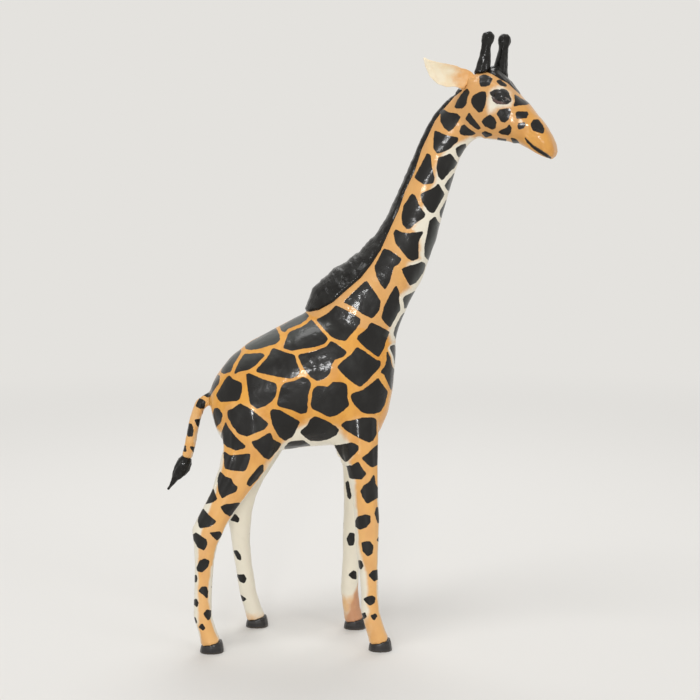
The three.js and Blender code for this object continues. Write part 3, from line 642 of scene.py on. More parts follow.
def show(surface, name, material, body, replaced):
    """Puts a finished surface into the scene, on its body and in place of its CAD nodes"""
    surface.write()
    surface.mesh.polygons.foreach_set("use_smooth", np.ones(len(surface.mesh.polygons), bool))
    surface.mesh.materials.clear()
    surface.mesh.materials.append(material)
    piece = bpy.data.objects.new(name, surface.mesh)
    bpy.context.scene.collection.objects.link(piece)
    if body:
        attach(piece, body)
    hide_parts(*replaced)
    return piece


# Materials

def colour(red, green, blue):
    """A screen colour, 0 to 255, as the linear colour that shaders take"""
    def linear(value):
        share = value / 255
        return share / 12.92 if share <= 0.04045 else ((share + 0.055) / 1.055) ** 2.4
    return (linear(red), linear(green), linear(blue), 1)


class Finish:
    """A node material with short ways to add its nodes"""

    def __init__(self, name, **constants):
        self.material = bpy.data.materials.new(name)
        self.material.use_nodes = True
        self.nodes = self.material.node_tree.nodes
        self.links = self.material.node_tree.links
        self.shader = self.nodes["Principled BSDF"]
        for socket, value in constants.items():
            self.shader.inputs[socket.replace("_", " ").title().replace("Ior", "IOR")].default_value = value
        self.place = self.nodes.new("ShaderNodeTexCoord").outputs["Object"]

    def put(self, value, socket):
        if isinstance(value, bpy.types.NodeSocket):
            self.links.new(value, socket)
        else:
            socket.default_value = value

    def value(self, name):
        node = self.nodes.new("ShaderNodeAttribute")
        node.attribute_name = name
        return node.outputs["Fac"]

    def noise(self, size, detail=3.0, stretch=(1, 1, 1)):
        """Noise with features of that size in millimetres"""
        scaled = self.nodes.new("ShaderNodeMapping")
        scaled.inputs["Scale"].default_value = stretch
        self.links.new(self.place, scaled.inputs["Vector"])
        node = self.nodes.new("ShaderNodeTexNoise")
        node.inputs["Scale"].default_value = 1 / (size * MM)
        node.inputs["Detail"].default_value = detail
        self.links.new(scaled.outputs["Vector"], node.inputs["Vector"])
        return node.outputs["Fac"]

    def cells(self, size):
        node = self.nodes.new("ShaderNodeTexVoronoi")
        node.inputs["Scale"].default_value = 1 / (size * MM)
        self.links.new(self.place, node.inputs["Vector"])
        return node.outputs["Distance"]

    def math(self, operation, first, second):
        node = self.nodes.new("ShaderNodeMath")
        node.operation = operation
        self.put(first, node.inputs[0])
        self.put(second, node.inputs[1])
        return node.outputs[0]

    def ramp(self, value, low, high, start=0.0, end=1.0):
        node = self.nodes.new("ShaderNodeMapRange")
        node.interpolation_type = "SMOOTHSTEP"
        for socket, number in zip(node.inputs, (value, low, high, start, end)):
            self.put(number, socket)
        return node.outputs["Result"]

    def varied(self, low, high, size, detail=3.0):
        """Noise of that size, spread between two values"""
        return self.ramp(self.noise(size, detail), 0.3, 0.7, low, high)

    def mix(self, share, first, second):
        node = self.nodes.new("ShaderNodeMix")
        node.data_type = "RGBA"
        self.put(share, node.inputs[0])
        self.put(first, node.inputs[6])
        self.put(second, node.inputs[7])
        return node.outputs[2]

    def bump(self, height, depth, strength=1.0, under=None):
        node = self.nodes.new("ShaderNodeBump")
        node.inputs["Distance"].default_value = depth * MM
        node.inputs["Strength"].default_value = strength
        self.links.new(height, node.inputs["Height"])
        if under is not None:
            self.links.new(under, node.inputs["Normal"])
        return node.outputs["Normal"]

    def surface(self, base, roughness, normal=None):
        self.put(base, self.shader.inputs["Base Color"])
        self.put(roughness, self.shader.inputs["Roughness"])
        if normal is not None:
            self.links.new(normal, self.shader.inputs["Normal"])
            self.links.new(normal, self.shader.inputs["Coat Normal"])
        return self.material


ORANGE = colour(225, 162, 68)
DEEP_ORANGE = colour(212, 145, 56)
PEACH = colour(229, 188, 140)
TAN = colour(202, 150, 90)
RUST = colour(188, 134, 102)
CREAM = colour(229, 222, 204)
BLACK = colour(15, 13, 11)
SOFT_BLACK = colour(34, 34, 32)
# Painted sheen: the grey that black patches turn where they face up towards the light
SHEEN_GREY = colour(84, 87, 84)
EAR_CREAM = colour(240, 228, 202)
EAR_BUFF = colour(236, 218, 184)
EAR_RIM = colour(229, 190, 140)
EAR_ORANGE = colour(228, 170, 104)
LID_BROWN = colour(84, 62, 58)
LID_HIGHLIGHT = colour(112, 104, 98)
PUPIL = colour(9, 8, 8)
IRIS = colour(92, 62, 48)
EYE_BROWN = colour(56, 40, 34)
HOOF_DARK = colour(20, 18, 19)
HOOF_RING = colour(48, 45, 45)
DUST = colour(98, 86, 74)
PAPER_LIGHT = colour(196, 180, 150)
PAPER_DARK = colour(164, 147, 118)
WIRE_LIGHT = colour(160, 162, 165)
WIRE_DARK = colour(120, 121, 124)
WOOD_LIGHT = colour(205, 166, 112)
WOOD_DARK = colour(166, 122, 72)
FLOOR_COLOUR = colour(228, 226, 222)


def painted_hide():
    """Black patches on orange, fading to cream, with a painted sheen of grey where they face up; varnished,
    with the leather's grain under it
    """
    finish = Finish("painted_hide", coat_weight=0.38, coat_roughness=0.11, specular_ior_level=0.2)
    ragged = finish.math("ADD", finish.value("patch"), finish.varied(-0.65, -0.4, 2.2))
    bare = finish.ramp(ragged, -0.2, 0.2)
    brush = finish.noise(9, 4, (1, 1, 0.45))
    warm = finish.mix(finish.ramp(brush, 0.35, 0.7), ORANGE, DEEP_ORANGE)
    warm = finish.mix(finish.value("peach"), warm, PEACH)
    warm = finish.mix(finish.value("tan"), warm, TAN)
    warm = finish.mix(finish.value("rust"), warm, RUST)
    cream_edge = finish.math("ADD", finish.value("cream"), finish.varied(-0.1, 0.1, 6))
    ground = finish.mix(finish.ramp(cream_edge, 0.15, 0.85), warm, CREAM)
    black = finish.mix(finish.ramp(finish.noise(12, 5, (1, 1, 0.6)), 0.45, 0.8), BLACK, SOFT_BLACK)
    # Painted sheen: black turns grey where the hide faces up, and where the neck faces forward
    black = finish.mix(finish.value("painted_sheen"), black, SHEEN_GREY)
    base = finish.mix(bare, black, ground)
    rough = finish.varied(0.26, 0.46, 14, 4)
    dents = finish.bump(finish.noise(9, 2), 0.5, 0.7)
    puckers = finish.bump(finish.noise(2.6, 3), 0.17, 0.65, dents)
    grain = finish.bump(finish.cells(0.9), 0.05, 0.5, puckers)
    edge = finish.bump(bare, 0.06, 0.6, grain)
    return finish.surface(base, rough, edge)


def black_leather(name, crumple, depth, gloss=(0.22, 0.42)):
    """Dyed leather with a soft shine, crumpled at a given size"""
    finish = Finish(name, coat_weight=0.35, coat_roughness=0.12, specular_ior_level=0.12)
    base = finish.mix(finish.ramp(finish.noise(5, 5), 0.4, 0.75), BLACK, SOFT_BLACK)
    rough = finish.varied(*gloss, 6, 4)
    folds = finish.bump(finish.noise(crumple, 4), depth, 0.8)
    grain = finish.bump(finish.cells(0.8), 0.05, 0.5, folds)
    return finish.surface(base, rough, grain)


def ear_leather():
    """Bare cream leather, orange at the root"""
    finish = Finish("ear_leather", specular_ior_level=0.35)
    root = finish.math("ADD", finish.value("root"), finish.varied(-0.2, 0.2, 5))
    pale = finish.mix(finish.ramp(finish.noise(9, 2), 0.35, 0.7), EAR_CREAM, EAR_BUFF)
    pale = finish.mix(finish.value("rim"), pale, EAR_RIM)
    base = finish.mix(finish.ramp(root, -0.1, 1.1), pale, EAR_ORANGE)
    rough = finish.varied(0.45, 0.62, 3)
    return finish.surface(base, rough, finish.bump(finish.noise(1.2, 5), 0.12, 0.5))


def lid_leather():
    """Varnished black leather, brown below the eye, with a painted highlight as a pale line along the lower
    rim
    """
    finish = Finish("lid_leather", coat_weight=0.7, coat_roughness=0.04, specular_ior_level=0.15)
    black = finish.mix(finish.ramp(finish.noise(3, 4), 0.4, 0.75), BLACK, SOFT_BLACK)
    base = finish.mix(finish.value("brown"), black, LID_BROWN)
    # Painted highlight: the pale strokes along the lower lid's rim
    base = finish.mix(finish.value("glint"), base, LID_HIGHLIGHT)
    rough = finish.varied(0.2, 0.34, 3, 4)
    return finish.surface(base, rough, finish.bump(finish.noise(1.6, 3), 0.12, 0.6))


def eye_glass():
    """Dark brown glass with a black pupil"""
    finish = Finish("eye_glass", coat_weight=1.0, coat_roughness=0.02, ior=1.5)
    fibres = finish.varied(-0.05, 0.05, 0.6, 4)
    around = finish.math("ADD", finish.value("pupil"), fibres)
    iris = finish.mix(finish.ramp(around, 0.42, 0.5), PUPIL, IRIS)
    base = finish.mix(finish.ramp(around, 0.9, 1.1), iris, EYE_BROWN)
    return finish.surface(base, finish.varied(0.04, 0.09, 2))


def hoof_black():
    """Blackened hoof with fine rings and dust on the sole's edge"""
    finish = Finish("hoof_black", coat_weight=0.25, coat_roughness=0.25)
    rings = finish.noise(3, 3, (0.15, 0.15, 1.6))
    base = finish.mix(finish.ramp(rings, 0.4, 0.75), HOOF_DARK, HOOF_RING)
    base = finish.mix(finish.value("dust"), base, DUST)
    rough = finish.varied(0.28, 0.5, 4)
    return finish.surface(base, rough, finish.bump(rings, 0.25, 0.6))


def pressed_paper():
    finish = Finish("pressed_paper")
    base = finish.mix(finish.varied(0.0, 1.0, 2, 6), PAPER_LIGHT, PAPER_DARK)
    return finish.surface(base, 0.95, finish.bump(finish.noise(1.5, 6), 0.3))


def steel_wire():
    finish = Finish("steel_wire", metallic=1.0)
    base = finish.mix(finish.varied(0.0, 1.0, 3, 4), WIRE_LIGHT, WIRE_DARK)
    return finish.surface(base, finish.varied(0.28, 0.5, 2, 4))


def peg_wood():
    finish = Finish("peg_wood")
    fibre = finish.noise(1.2, 5, (1, 1, 0.1))
    base = finish.mix(finish.ramp(fibre, 0.3, 0.7), WOOD_LIGHT, WOOD_DARK)
    return finish.surface(base, 0.75, finish.bump(fibre, 0.15))


# The head's own frame: forward, towards its left, and the point on its upright axis at the poll
EYES = {side: middle_of(f"{side}_eye") for side in SIDES}
TO_LEFT = (EYES["left"] - EYES["right"]) / np.linalg.norm(EYES["left"] - EYES["right"])
HEAD_TURN = math.asin(TO_LEFT[0])
HEAD_AHEAD = np.array((math.cos(HEAD_TURN), -math.sin(HEAD_TURN), 0))
POLL = (EYES["right"] + EYES["left"]) / 2 - EYE_FORWARD * HEAD_AHEAD


def leg_line(name):
    """Height and middle of a leg, from its CAD node, for reading the middle at any height"""
    points = node_points(name)
    shares = np.exp(-((points[:, 2] - LEG_STEPS[:, None]) / LEG_STEP_REACH) ** 2)
    return LEG_STEPS, shares @ points[:, 0] / shares.sum(1)


LEG_LINES = {name: leg_line(name) for name in LEG_NODES}
JOINTS = {joint["name"]: np.array(joint["pos_m"]) / MM for joint in frame["joints"]}
AXES = {joint["name"]: np.array(joint["axis"]) for joint in frame["joints"]}


def in_own_frame(points):
    """The head's share of turn, and places ahead of the poll and aside of the middle plane"""
    x = points[:, 0] - POLL[0]
    y = points[:, 1]
    turn = HEAD_TURN * smoothstep(*TURN_AHEAD, x) * smoothstep(*TURN_HEIGHTS, points[:, 2])
    return turn, x * np.cos(turn) - y * np.sin(turn), x * np.sin(turn) + y * np.cos(turn)


def seen_points(points):
    """Places on the side that the photograph shows, mirrored across the figure's and the head's middle"""
    turn, ahead, aside = in_own_frame(points)
    aside = -np.abs(aside)
    seen_x = POLL[0] + ahead * np.cos(turn) + aside * np.sin(turn)
    seen_y = -ahead * np.sin(turn) + aside * np.cos(turn)
    return np.column_stack((seen_x, seen_y, points[:, 2]))


def moved_to_leg(points, name, other):
    """The same places on the leg across, each at its own height"""
    height = points[:, 2]
    shift = np.interp(height, *LEG_LINES[other]) - np.interp(height, *LEG_LINES[name])
    fade = smoothstep(*LEG_FADE, height)
    return np.column_stack((points[:, 0] + shift * fade, -points[:, 1], height))


COAT = [NOSTRIL, MOUTH, *NECK_PATCHES.values(), *HEAD_PATCHES.values(), *BODY_PATCHES.values(),
        *LEG_PATCHES.values(), *TAIL_PATCHES.values()]


def cream_of(pixels):
    """How far the coat has faded to cream"""
    shares = [smoothstep(width, -width, outline_distance(pixels, np.array(outline, float)))
              for width, outline in CREAM_ZONES.values()]
    return np.max(shares, axis=0)


def leg_coat(points, normals, name):
    """The coat of one leg: outside from the photograph's near legs, inside from its far ones"""
    height = points[:, 2]
    side, other = ("right", "left") if "right" in name else ("left", "right")
    across = moved_to_leg(points, name, name.replace(side, other))
    near, far = (points, across) if side == "right" else (across, points)
    seen = to_photo(near)
    outward = normals[:, 1] * SIDES[side]
    outer = np.maximum(nearest_outline(seen, COAT) * PIXEL, LEG_EDGE * (0.25 - outward))
    inner = nearest_outline(to_photo(far), INNER_LEG_PATCHES.values()) * PIXEL
    limit = smoothstep(*PALE_HEIGHTS, height) * (0.5 + 0.22 * smoothstep(0.1, -0.6, normals[:, 0]))
    pale = smoothstep(limit + 0.15, limit - 0.3, outward + 0.12 * lumps(points, 7, 16))
    edge = cream_of(seen) * smoothstep(-0.2, 0.3, outward)
    front = "front" in name
    ankle = smoothstep(*ANKLES["front" if front else "hind"], height)
    ahead = points[:, 0] - np.interp(height, *LEG_LINES[name])
    slant = height - RUST_SLANT * ahead + RUST_WAVER * lumps(points, 5, 19)
    rusty = smoothstep(*RUST_HEIGHTS, slant) * smoothstep(0.2, -0.3, outward) * front
    return {
        "patch": np.minimum(outer, np.maximum(inner, LEG_EDGE * (0.15 + outward))),
        "cream": np.maximum(pale, edge) * (1 - np.maximum(0.7 * ankle, rusty)),
        "peach": 0.22 + 0.25 * smoothstep(*PEACH_HEIGHTS, height) + 0.3 * smoothstep(0.75, 0.1, outward),
        "rust": 0.85 * rusty,
    }


def patches_of(points, normals, labels, pixels):
    """Millimetres to the nearest patch of trunk, neck, head and tail, kept off the figure's middle"""
    ahead = normals[:, 0]
    on_trunk = labels == BODY
    has_midline = labels <= NECK
    turned = smoothstep(0.45, 0.05, np.abs(normals @ FORWARD)) * has_midline
    wavy = pixels + np.outer(EDGE_WAVE * turned * lumps(points, 16, 17), (0.4, 1))
    patch = nearest_outline(wavy, COAT) * PIXEL
    middle = MIDLINE + MIDLINE_WAVER * lumps(points, 20, 18) + MIDLINE_FRONT * smoothstep(0.2, 0.6, ahead)
    middle += MIDLINE_ENDS * smoothstep(0.4, 0.8, np.abs(ahead)) * on_trunk
    middle += MIDLINE_RUMP * smoothstep(-0.2, -0.6, ahead) * smoothstep(*RUMP_HEIGHTS, points[:, 2])
    aside = np.abs(in_own_frame(points)[2])
    return np.where(has_midline, np.maximum(patch, middle - aside), patch) - TRUNK_SPREAD * on_trunk


def coat_of(points, normals, labels):
    """Millimetres to the nearest patch, below zero inside it, and the shares of the coat's other colours"""
    pixels = to_photo(seen_points(points))
    across = pixels[:, 0]
    on_neck = labels == NECK
    on_head = labels == HEAD
    on_tail = labels >= len(HIDE_NODES)
    under = smoothstep(-0.9, -0.99, normals[:, 2]) * (points[:, 2] > UNDER_HEIGHT)
    under = under * smoothstep(522, 508, across)
    cream = np.maximum(cream_of(pixels), under)
    peach = 0.06 * (labels == BODY) + 0.36 * on_neck
    peach = np.where(on_tail, 0.4 + 0.3 * lumps(points, 9, 14), peach)
    # Painted sheen: black patches turn grey where they face upward, and on the neck where it faces forward
    painted_sheen = smoothstep(0.35, 0.85, normals[:, 2]) * (labels <= NECK)
    painted_sheen = np.maximum(painted_sheen, smoothstep(0.45, 0.9, normals[:, 0]) * on_neck)
    coat = {
        "patch": patches_of(points, normals, labels, pixels) + UNDER_CLEAR * under * (labels != HEAD),
        "cream": np.where(on_tail, 0.5 * smoothstep(0.2, 0.9, normals[:, 0]), cream),
        "peach": np.where(on_head, 0.5 * smoothstep(532, 496, across), peach),
        "painted_sheen": 0.75 * painted_sheen,
        "tan": (0.4 + 0.3 * smoothstep(535, 505, across)) * on_head + 0.35 * on_neck,
        "rust": np.zeros(len(points)),
    }
    for index, name in enumerate(LEG_NODES, start=HEAD + 1):
        mine = labels == index
        for key, values in leg_coat(points[mine], normals[mine], name).items():
            coat[key][mine] = values
    coat["peach"] = np.clip(coat["peach"] + 0.15 * lumps(points, 16, 13), 0, 1)
    return coat


# The hide

def nearest_node(points, names):
    """For each point, which of the named nodes is nearest"""
    trees = []
    for name in names:
        mesh = frame["nodes"][name].data
        places = [vertex.co for vertex in mesh.vertices]
        trees.append(BVHTree.FromPolygons(places, [face.vertices for face in mesh.polygons]))
    gaps = [[tree.find_nearest(Vector(point))[3] for tree in trees] for point in points * MM]
    return np.argmin(gaps, axis=1)


def near_seams(surface, labels, reach):
    """1 where two labels meet, falling to 0 over a number of edges"""
    starts, ends = surface.starts, surface.ends
    seam = np.zeros(len(labels))
    meeting = labels[starts] != labels[ends]
    seam[starts[meeting]] = 1
    seam[ends[meeting]] = 1
    for _ in range(reach):
        spread = seam.copy()
        np.maximum.at(spread, starts, seam[ends] - 1 / reach)
        np.maximum.at(spread, ends, seam[starts] - 1 / reach)
        seam = spread
    return seam


def finer(mesh, keep):
    """The mesh with its kept part cut to half the edge length"""
    form = bmesh.new()
    form.from_mesh(mesh)
    chosen = {edge for face in form.faces for edge in face.edges if all(keep[v.index] for v in face.verts)}
    bmesh.ops.subdivide_edges(form, edges=list(chosen), cuts=1, use_grid_fill=True)
    bmesh.ops.triangulate(form, faces=[face for face in form.faces if len(face.verts) > 4])
    return Surface(finished(form, "hide"))


def face_relief(points, normals):
    """Nostrils, mouth, a flatter forehead and a fuller jaw, as millimetres along the normals"""
    pixels = to_photo(seen_points(points))
    nostril = outline_distance(pixels, rounded(NOSTRIL)) * PIXEL
    mouth = outline_distance(pixels, rounded(MOUTH)) * PIXEL
    rim = NOSTRIL_RIM * np.exp(-((nostril - 0.8) / 1.2) ** 2)
    dimple = rim - NOSTRIL_DEPTH * smoothstep(0.4, -3.2, nostril)
    lips = LIP_RISE * np.exp(-((mouth - 1.4) / 0.9) ** 2)
    groove = -MOUTH_DEPTH * smoothstep(0.5, -0.9, mouth) + lips
    flatter = -FOREHEAD_FLAT * smoothstep(8, 2, line_distance(pixels, FOREHEAD_LINE))
    fuller = JAW_FULLNESS * smoothstep(7, 2, line_distance(pixels, JAW_LINE)) * (normals[:, 2] < 0)
    return dimple + groove + flatter + fuller


def make_hide():
    """One continuous hide over trunk, neck, head, legs and tail, with its sockets closed"""
    inner = gathered([*COAT_NODES, *CORE_NODES, "spine_wire", "tail_wire"])
    ear_roots = balls([JOINTS["right_ear_flex"], JOINTS["left_ear_flex"]], EAR_SOCKET)
    beds = [EYES[side] - EYE_BED_DEPTH * sign * TO_LEFT for side, sign in SIDES.items()]
    eye_beds = balls(beds, EYE_BED)
    folds = [(x, sign * ELBOW_ASIDE, z) for x, z in ELBOW_FOLD for sign in SIDES.values()]
    elbows = balls(folds, ELBOW_FULLNESS)
    hide = remeshed([inner, gathered(LEG_WIRES, WIRE_STOP), ear_roots, eye_beds, elbows], HIDE_VOXEL)
    labels = nearest_node(hide.points, COAT_NODES)
    hide.even_out(45)
    at_neck_base = (hide.points[:, 2] > NECK_BASE[0]) & (hide.points[:, 2] < NECK_BASE[1])
    hide.fill(70, near_seams(hide, labels, 10) * np.where(at_neck_base, 0.3, 1))
    hide.soften(60, hide.spread((labels <= NECK) * 1.0, 16))
    hide.even_out(10)
    hide.write()
    hide = finer(hide.mesh, (labels == HEAD) | (labels >= len(HIDE_NODES)))
    hide.even_out(6)
    hide.push(HIDE_SWELL)
    labels = nearest_node(hide.points, COAT_NODES)
    behind = smoothstep(-0.1, -0.7, hide.normals()[:, 0]) * np.isin(labels, HIND_LABELS)
    hide.push(HAUNCH_SWELL * behind * np.exp(-((hide.points[:, 2] - HAUNCH_HEIGHT) / HAUNCH_REACH) ** 2))
    hide.push((labels == HEAD) * face_relief(hide.points, hide.normals()))
    hide.push(0.28 * lumps(hide.points, 11) + 0.12 * lumps(hide.points, 4, 2))
    for name, values in coat_of(hide.points, hide.normals(), labels).items():
        hide.paint(name, values)
    on_tail = (labels == BODY) | (labels >= len(HIDE_NODES))
    hide.write()
    return hide, np.where(on_tail, hide.points[:, 0], 0)


whole, backward = make_hide()
hide_material = painted_hide()
hide = part_of(whole, backward > TAIL_CUT)
show(hide, "hide", hide_material, "figure", HIDE_NODES)


# Leather laid over the hide

def make_layer(edge, outside, rise, ripple, name):
    """Leather on the hide inside an outline; its border dips under the hide's surface"""
    outline = np.array([*edge, *outside], float)
    around = outline_distance(to_photo(seen_points(hide.points)), outline) * PIXEL
    points, normals, faces, borders = patch_of(hide.mesh, around < 3, cuts=1)
    pixels = to_photo(seen_points(points))
    inside = -outline_distance(pixels, outline) * PIXEL
    top = smoothstep(-0.6, 1.6, inside) * (rise(pixels) + LAYER_SINK) - LAYER_SINK
    top += ripple(points, pixels, inside) * smoothstep(0, 3.5, inside)
    return layer_on(points, normals, faces, borders, top, LAYER_SINK + LAYER_BODY, name)


def mane_rise(pixels):
    """Thinner where the mane runs out between the ears"""
    return MANE_RISE - 1.3 * smoothstep(448, 462, pixels[:, 0])


def mane_ripple(points, pixels, inside):
    """Pinched folds across the mane, deeper towards its crest"""
    start, end = np.array(MANE_EDGE[4:6], float)
    along = (end - start) / np.linalg.norm(end - start)
    turned = np.column_stack((pixels @ along, pixels @ np.array((-along[1], along[0])), points[:, 1]))
    folds = lumps(turned * np.array((1, 0.45, 0.35)), 5, 3)
    creases = 1 - np.abs(lumps(turned * np.array((1, 0.5, 0.4)), 8, 5)) * 2
    crest = smoothstep(4, 14, inside)
    return (0.85 * folds + 0.6 * creases) * (0.35 + 0.65 * crest) + 0.3 * lumps(points, 14, 4)


def horn_axis(side):
    """Middle and direction of a horn, from its peg"""
    peg = node_points(f"{side}_horn_peg")
    middle = peg.mean(0)
    axis = np.linalg.svd(peg - middle)[2][0]
    return middle, axis * np.sign(axis[2])


def strip_rise(pixels):
    """Thinner in front of the horns"""
    return STRIP_RISE - 1.4 * smoothstep(496, 508, pixels[:, 0])


def strip_ripple(points, pixels, inside):
    """A saddle that joins the feet of the horns, and small dents"""
    feet = []
    for side in SIDES:
        middle, axis = horn_axis(side)
        feet.append(middle + axis * (SADDLE_HEIGHT - middle[2]) / axis[2])
    away = edge_distance(points, feet[0][None], feet[1][None])
    return SADDLE_RISE * smoothstep(*SADDLE_REACH, away) + 0.25 * lumps(points, 4, 6)


mane = make_layer(MANE_EDGE, MANE_OUTSIDE, mane_rise, mane_ripple, "mane")
show(mane, "mane_leather", black_leather("mane_black", 3.5, 0.8), "figure", ["mane"])
strip = make_layer(STRIP_EDGE, STRIP_OUTSIDE, strip_rise, strip_ripple, "strip")
strip_material = black_leather("strip_black", 3, 0.3)
show(strip, "forehead_leather", strip_material, "figure", ["forehead_strip"])


# Horns

def make_horn(side):
    """A leather-wrapped horn with folds along it"""
    horn = remeshed([gathered([f"{side}_horn"])], HORN_VOXEL)
    horn.even_out(14)
    middle, axis = horn_axis(side)
    height = (horn.points - middle) @ axis
    folded = horn.points - 0.65 * np.outer(height, axis)
    shaft = smoothstep(2, 7, height - height.min())
    toward = horn_axis("left" if side == "right" else "right")[0] - middle
    facing = smoothstep(-0.3, 0.7, horn.normals() @ toward / np.linalg.norm(toward))
    flare = HORN_FLARE * facing * smoothstep(*FLARE_HEIGHTS, horn.points[:, 2])
    horn.push(0.1 + flare + 0.4 * shaft * lumps(folded, 2.6, 7) + 0.25 * shaft * lumps(horn.points, 3.2, 8))
    return horn


horn_leather = black_leather("horn_black", 2.5, 0.4, (0.18, 0.36))
for side in SIDES:
    show(make_horn(side), f"{side}_horn_leather", horn_leather, "figure", [f"{side}_horn"])


# Eyes and lids

def make_eye(side):
    """A glass eye with a slightly raised cornea, looking out from the head"""
    centre = EYES[side]
    radius = (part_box(f"{side}_eye")[1].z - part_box(f"{side}_eye")[0].z) / 2 / MM
    form = bmesh.new()
    bmesh.ops.create_uvsphere(form, u_segments=48, v_segments=32, radius=radius * MM)
    eye = Surface(finished(form, f"{side}_eye"))
    outward = TO_LEFT * SIDES[side] + np.array(EYE_LEAN)
    outward /= np.linalg.norm(outward)
    angle = np.degrees(np.arccos(np.clip(eye.points @ outward / radius, -1, 1)))
    eye.points *= (1 + 0.05 * smoothstep(42, 20, angle))[:, None]
    eye.points += centre
    eye.paint("pupil", angle / 60)
    return eye, outward, radius


def lid_slope(outward):
    """Across an eye's slit, which drops towards the muzzle"""
    return np.array((0, 0, 1)) + LID_SLANT * np.cross(TO_LEFT, (0, 0, 1)) + LID_LEAN * outward


def upper_lid(side, outward, radius):
    """A lid over the upper part of an eye, as a closed layer on a ball"""
    form = bmesh.new()
    bmesh.ops.create_uvsphere(form, u_segments=64, v_segments=40, radius=radius * MM)
    ball = finished(form, "ball")
    places = np.array([vertex.co for vertex in ball.vertices]) / MM
    slope = lid_slope(outward)
    keep = (places @ slope > -LID_DROP * radius) & (places @ outward > -0.2 * radius)
    points, normals, faces, borders = patch_of(ball, keep)
    lid = layer_on(points, normals, faces, borders, 1.0, -0.35, "lid")
    lid.points += EYES[side]
    lid.write()
    return lid.mesh


eye_material = eye_glass()
lid_material = lid_leather()
for side in SIDES:
    eye, outward, radius = make_eye(side)
    show(eye, f"{side}_glass_eye", eye_material, "figure", [f"{side}_eye"])
    lids = remeshed([gathered([f"{side}_eyelid"]), upper_lid(side, outward, radius)], LID_VOXEL)
    lids.even_out(8)
    lids.push(0.15 * lumps(lids.points, 2.2, 9))
    lids.paint("brown", smoothstep(-0.3, -0.5, (lids.points - EYES[side]) @ lid_slope(outward) / radius))
    # Painted highlight: pale strokes along the lower lid's rim
    starts, ends = np.array(LID_GLINTS, float).transpose(1, 0, 2)
    pixels = to_photo(seen_points(lids.points))
    lids.paint("glint", smoothstep(0.9, 0.2, edge_distance(pixels, starts, ends)))
    show(lids, f"{side}_lids", lid_material, "figure", [f"{side}_eyelid"])


# Ears

def make_ear(side):
    """A cupped leaf of leather, orange where it comes out of the head"""
    ear = remeshed([gathered([f"{side}_ear"])], EAR_VOXEL)
    ear.even_out(16)
    root = JOINTS[f"{side}_ear_flex"]
    reach = np.linalg.norm(ear.points - root, axis=1)
    upward = AXES[f"{side}_ear_flex"] * np.sign(AXES[f"{side}_ear_flex"][2])
    across = (ear.points - root) @ upward
    ear.points += np.outer(across * EAR_ROOT_SPREAD * smoothstep(14, 3, reach), upward)
    ear.push(0.18 * lumps(ear.points, 7, 10) + 0.06 * lumps(ear.points, 2, 11))
    ear.paint("root", smoothstep(0.55, 0.1, reach / reach.max()))
    ear.paint("rim", 0.8 * smoothstep(0.2, 0.9, across / across.max()))
    tip = ear.points[reach.argmax()]
    bend = [Vector(root + distance * (tip - root) / reach.max()) * MM for distance in EAR_BEND]
    return ear, bend


ear_material = ear_leather()
for side in SIDES:
    ear, bend = make_ear(side)
    piece = show(ear, f"{side}_ear_leather", ear_material, None, [f"{side}_ear"])
    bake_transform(piece)


# Hooves

hoof_material = hoof_black()
for leg in LEGS:
    hoof = remeshed([gathered([f"{leg}_hoof"])], HOOF_VOXEL)
    hoof.even_out(6)
    hoof.push(0.12 * lumps(hoof.points, 5, 12) * (hoof.points[:, 2] > 0.8))
    hoof.points[:, 2] = np.maximum(hoof.points[:, 2], 0)
    hoof.paint("dust", 0.5 * smoothstep(1.6, 0.2, hoof.points[:, 2]))
    show(hoof, f"{leg}_hoof_black", hoof_material, "figure", [f"{leg}_hoof"])


# Tail

in_dock = (backward < TAIL_CUT + TAIL_LAP) & (backward > SWAY_CUT - SWAY_LAP)
past_dock = backward < SWAY_CUT + SWAY_LAP
for name, chosen, node, bodies, ends in (
    ("tail_root", in_dock, "tail_dock", ("figure", "tail_dock"), (TAIL_CUT, SWAY_CUT)),
    ("tail_hide", past_dock, "tail_leather", ("tail_dock", "tail"), (SWAY_CUT, TAIL_BEND_END)),
):
    piece = show(part_of(whole, chosen), name, hide_material, None, [node])
    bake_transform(piece)


def make_tuft():
    """Twisted locks of black leather, gathered to a point"""
    tuft = remeshed([gathered(["tail_tuft"])], TUFT_VOXEL)
    tuft.even_out(10)
    top = tuft.points[tuft.points[:, 2].argmax()]
    tip = tuft.points[tuft.points[:, 2].argmin()]
    length = np.linalg.norm(tip - top)
    axis = (tip - top) / length
    along = (tuft.points - top) @ axis / length
    flat = np.cross(axis, (0, 1, 0))
    angle = np.arctan2(tuft.points[:, 1], (tuft.points - top) @ flat)
    locks = np.abs(np.sin(2.5 * angle + 5 * along))
    fade = smoothstep(0.02, 0.2, along) * smoothstep(1.0, 0.75, along)
    waist = smoothstep(0.45, 0.7, along) * smoothstep(1.0, 0.86, along)
    tuft.push(fade * (0.8 * locks - 0.5) - 0.75 * waist + 0.35 * fade * lumps(tuft.points, 3, 15))
    return tuft


tuft_material = black_leather("tuft_black", 2.5, 0.4)
show(make_tuft(), "tuft_leather", tuft_material, "tail", ["tail_tuft"])


# What is inside keeps its CAD shape

def dress(names, material):
    for name in names:
        materials = frame["nodes"][name].data.materials
        materials.clear()
        materials.append(material)


dress(CORE_NODES, pressed_paper())
dress(["spine_wire", "tail_wire", *LEG_WIRES], steel_wire())
dress(["right_horn_peg", "left_horn_peg"], peg_wood())


# Floor, light and camera

def is_seen(nodes, links):
    """1 for rays that show a background: from the camera, off gloss or through glass"""
    path = nodes.new("ShaderNodeLightPath")
    total = path.outputs["Is Camera Ray"]
    for other in ("Is Glossy Ray", "Is Transmission Ray"):
        add = nodes.new("ShaderNodeMath")
        add.operation = "MAXIMUM"
        links.new(total, add.inputs[0])
        links.new(path.outputs[other], add.inputs[1])
        total = add.outputs[0]
    return total


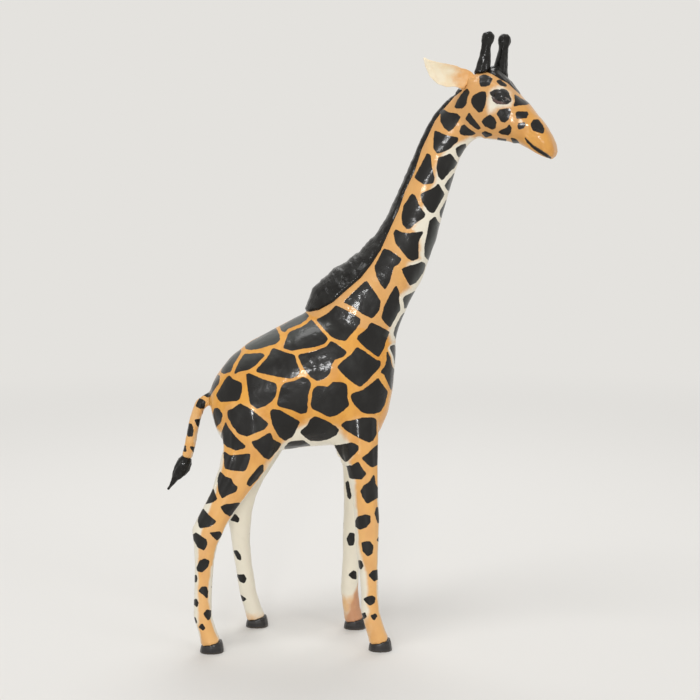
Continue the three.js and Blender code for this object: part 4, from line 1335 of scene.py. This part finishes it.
def make_floor():
    """A wide pale floor that runs out into the background"""
    form = bmesh.new()
    bmesh.ops.create_grid(form, x_segments=1, y_segments=1, size=FLOOR_HALF)
    floor = bpy.data.objects.new("floor", finished(form, "floor"))
    bpy.context.scene.collection.objects.link(floor)
    finish = Finish("floor_pale")
    finish.surface(FLOOR_COLOUR, 0.9)
    glow = finish.nodes.new("ShaderNodeEmission")
    glow.inputs["Color"].default_value = FLOOR_COLOUR
    distance = finish.nodes.new("ShaderNodeVectorMath")
    distance.operation = "LENGTH"
    finish.links.new(finish.place, distance.inputs[0])
    far = finish.ramp(distance.outputs["Value"], *FLOOR_FADE)
    share = finish.math("MULTIPLY", far, is_seen(finish.nodes, finish.links))
    blend = finish.nodes.new("ShaderNodeMixShader")
    finish.links.new(share, blend.inputs[0])
    finish.links.new(finish.shader.outputs[0], blend.inputs[1])
    finish.links.new(glow.outputs[0], blend.inputs[2])
    finish.links.new(blend.outputs[0], finish.nodes["Material Output"].inputs["Surface"])
    floor.data.materials.append(finish.material)


def make_world(strength):
    world = bpy.data.worlds.new("studio")
    world.use_nodes = True
    bpy.context.scene.world = world
    nodes = world.node_tree.nodes
    links = world.node_tree.links
    lit = nodes["Background"]
    lit.inputs["Color"].default_value = (1, 1, 1, 1)
    lit.inputs["Strength"].default_value = strength
    shown = nodes.new("ShaderNodeBackground")
    shown.inputs["Color"].default_value = FLOOR_COLOUR
    blend = nodes.new("ShaderNodeMixShader")
    links.new(is_seen(nodes, links), blend.inputs[0])
    links.new(lit.outputs[0], blend.inputs[1])
    links.new(shown.outputs[0], blend.inputs[2])
    links.new(blend.outputs[0], nodes["World Output"].inputs["Surface"])


def make_light(name, place, width, height, power, in_gloss):
    """A flat oval lamp; one that isn't in gloss lights the object without showing on its shine"""
    data = bpy.data.lights.new(name, "AREA")
    data.shape = "ELLIPSE"
    data.size = width
    data.size_y = height
    data.energy = power
    light = bpy.data.objects.new(name, data)
    light.location = place
    light.visible_glossy = in_gloss
    light.rotation_mode = "QUATERNION"
    light.rotation_quaternion = (Vector(LIGHT_AIM) - Vector(place)).to_track_quat("-Z", "Y")
    bpy.context.scene.collection.objects.link(light)


def make_camera():
    data = bpy.data.cameras.new("camera")
    data.sensor_width = SENSOR
    data.lens = SENSOR * FOCAL_PIXELS / FRAME_PIXELS
    camera = bpy.data.objects.new("camera", data)
    camera.location = Vector(STANDPOINT * MM)
    camera.rotation_mode = "QUATERNION"
    camera.rotation_quaternion = Vector(FORWARD).to_track_quat("-Z", "Y")
    bpy.context.scene.collection.objects.link(camera)
    bpy.context.scene.camera = camera


make_floor()
make_world(WORLD_STRENGTH)
for name, lamp in LIGHTS.items():
    make_light(name, *lamp)
make_camera()
bpy.context.scene.view_settings.view_transform = "Standard"
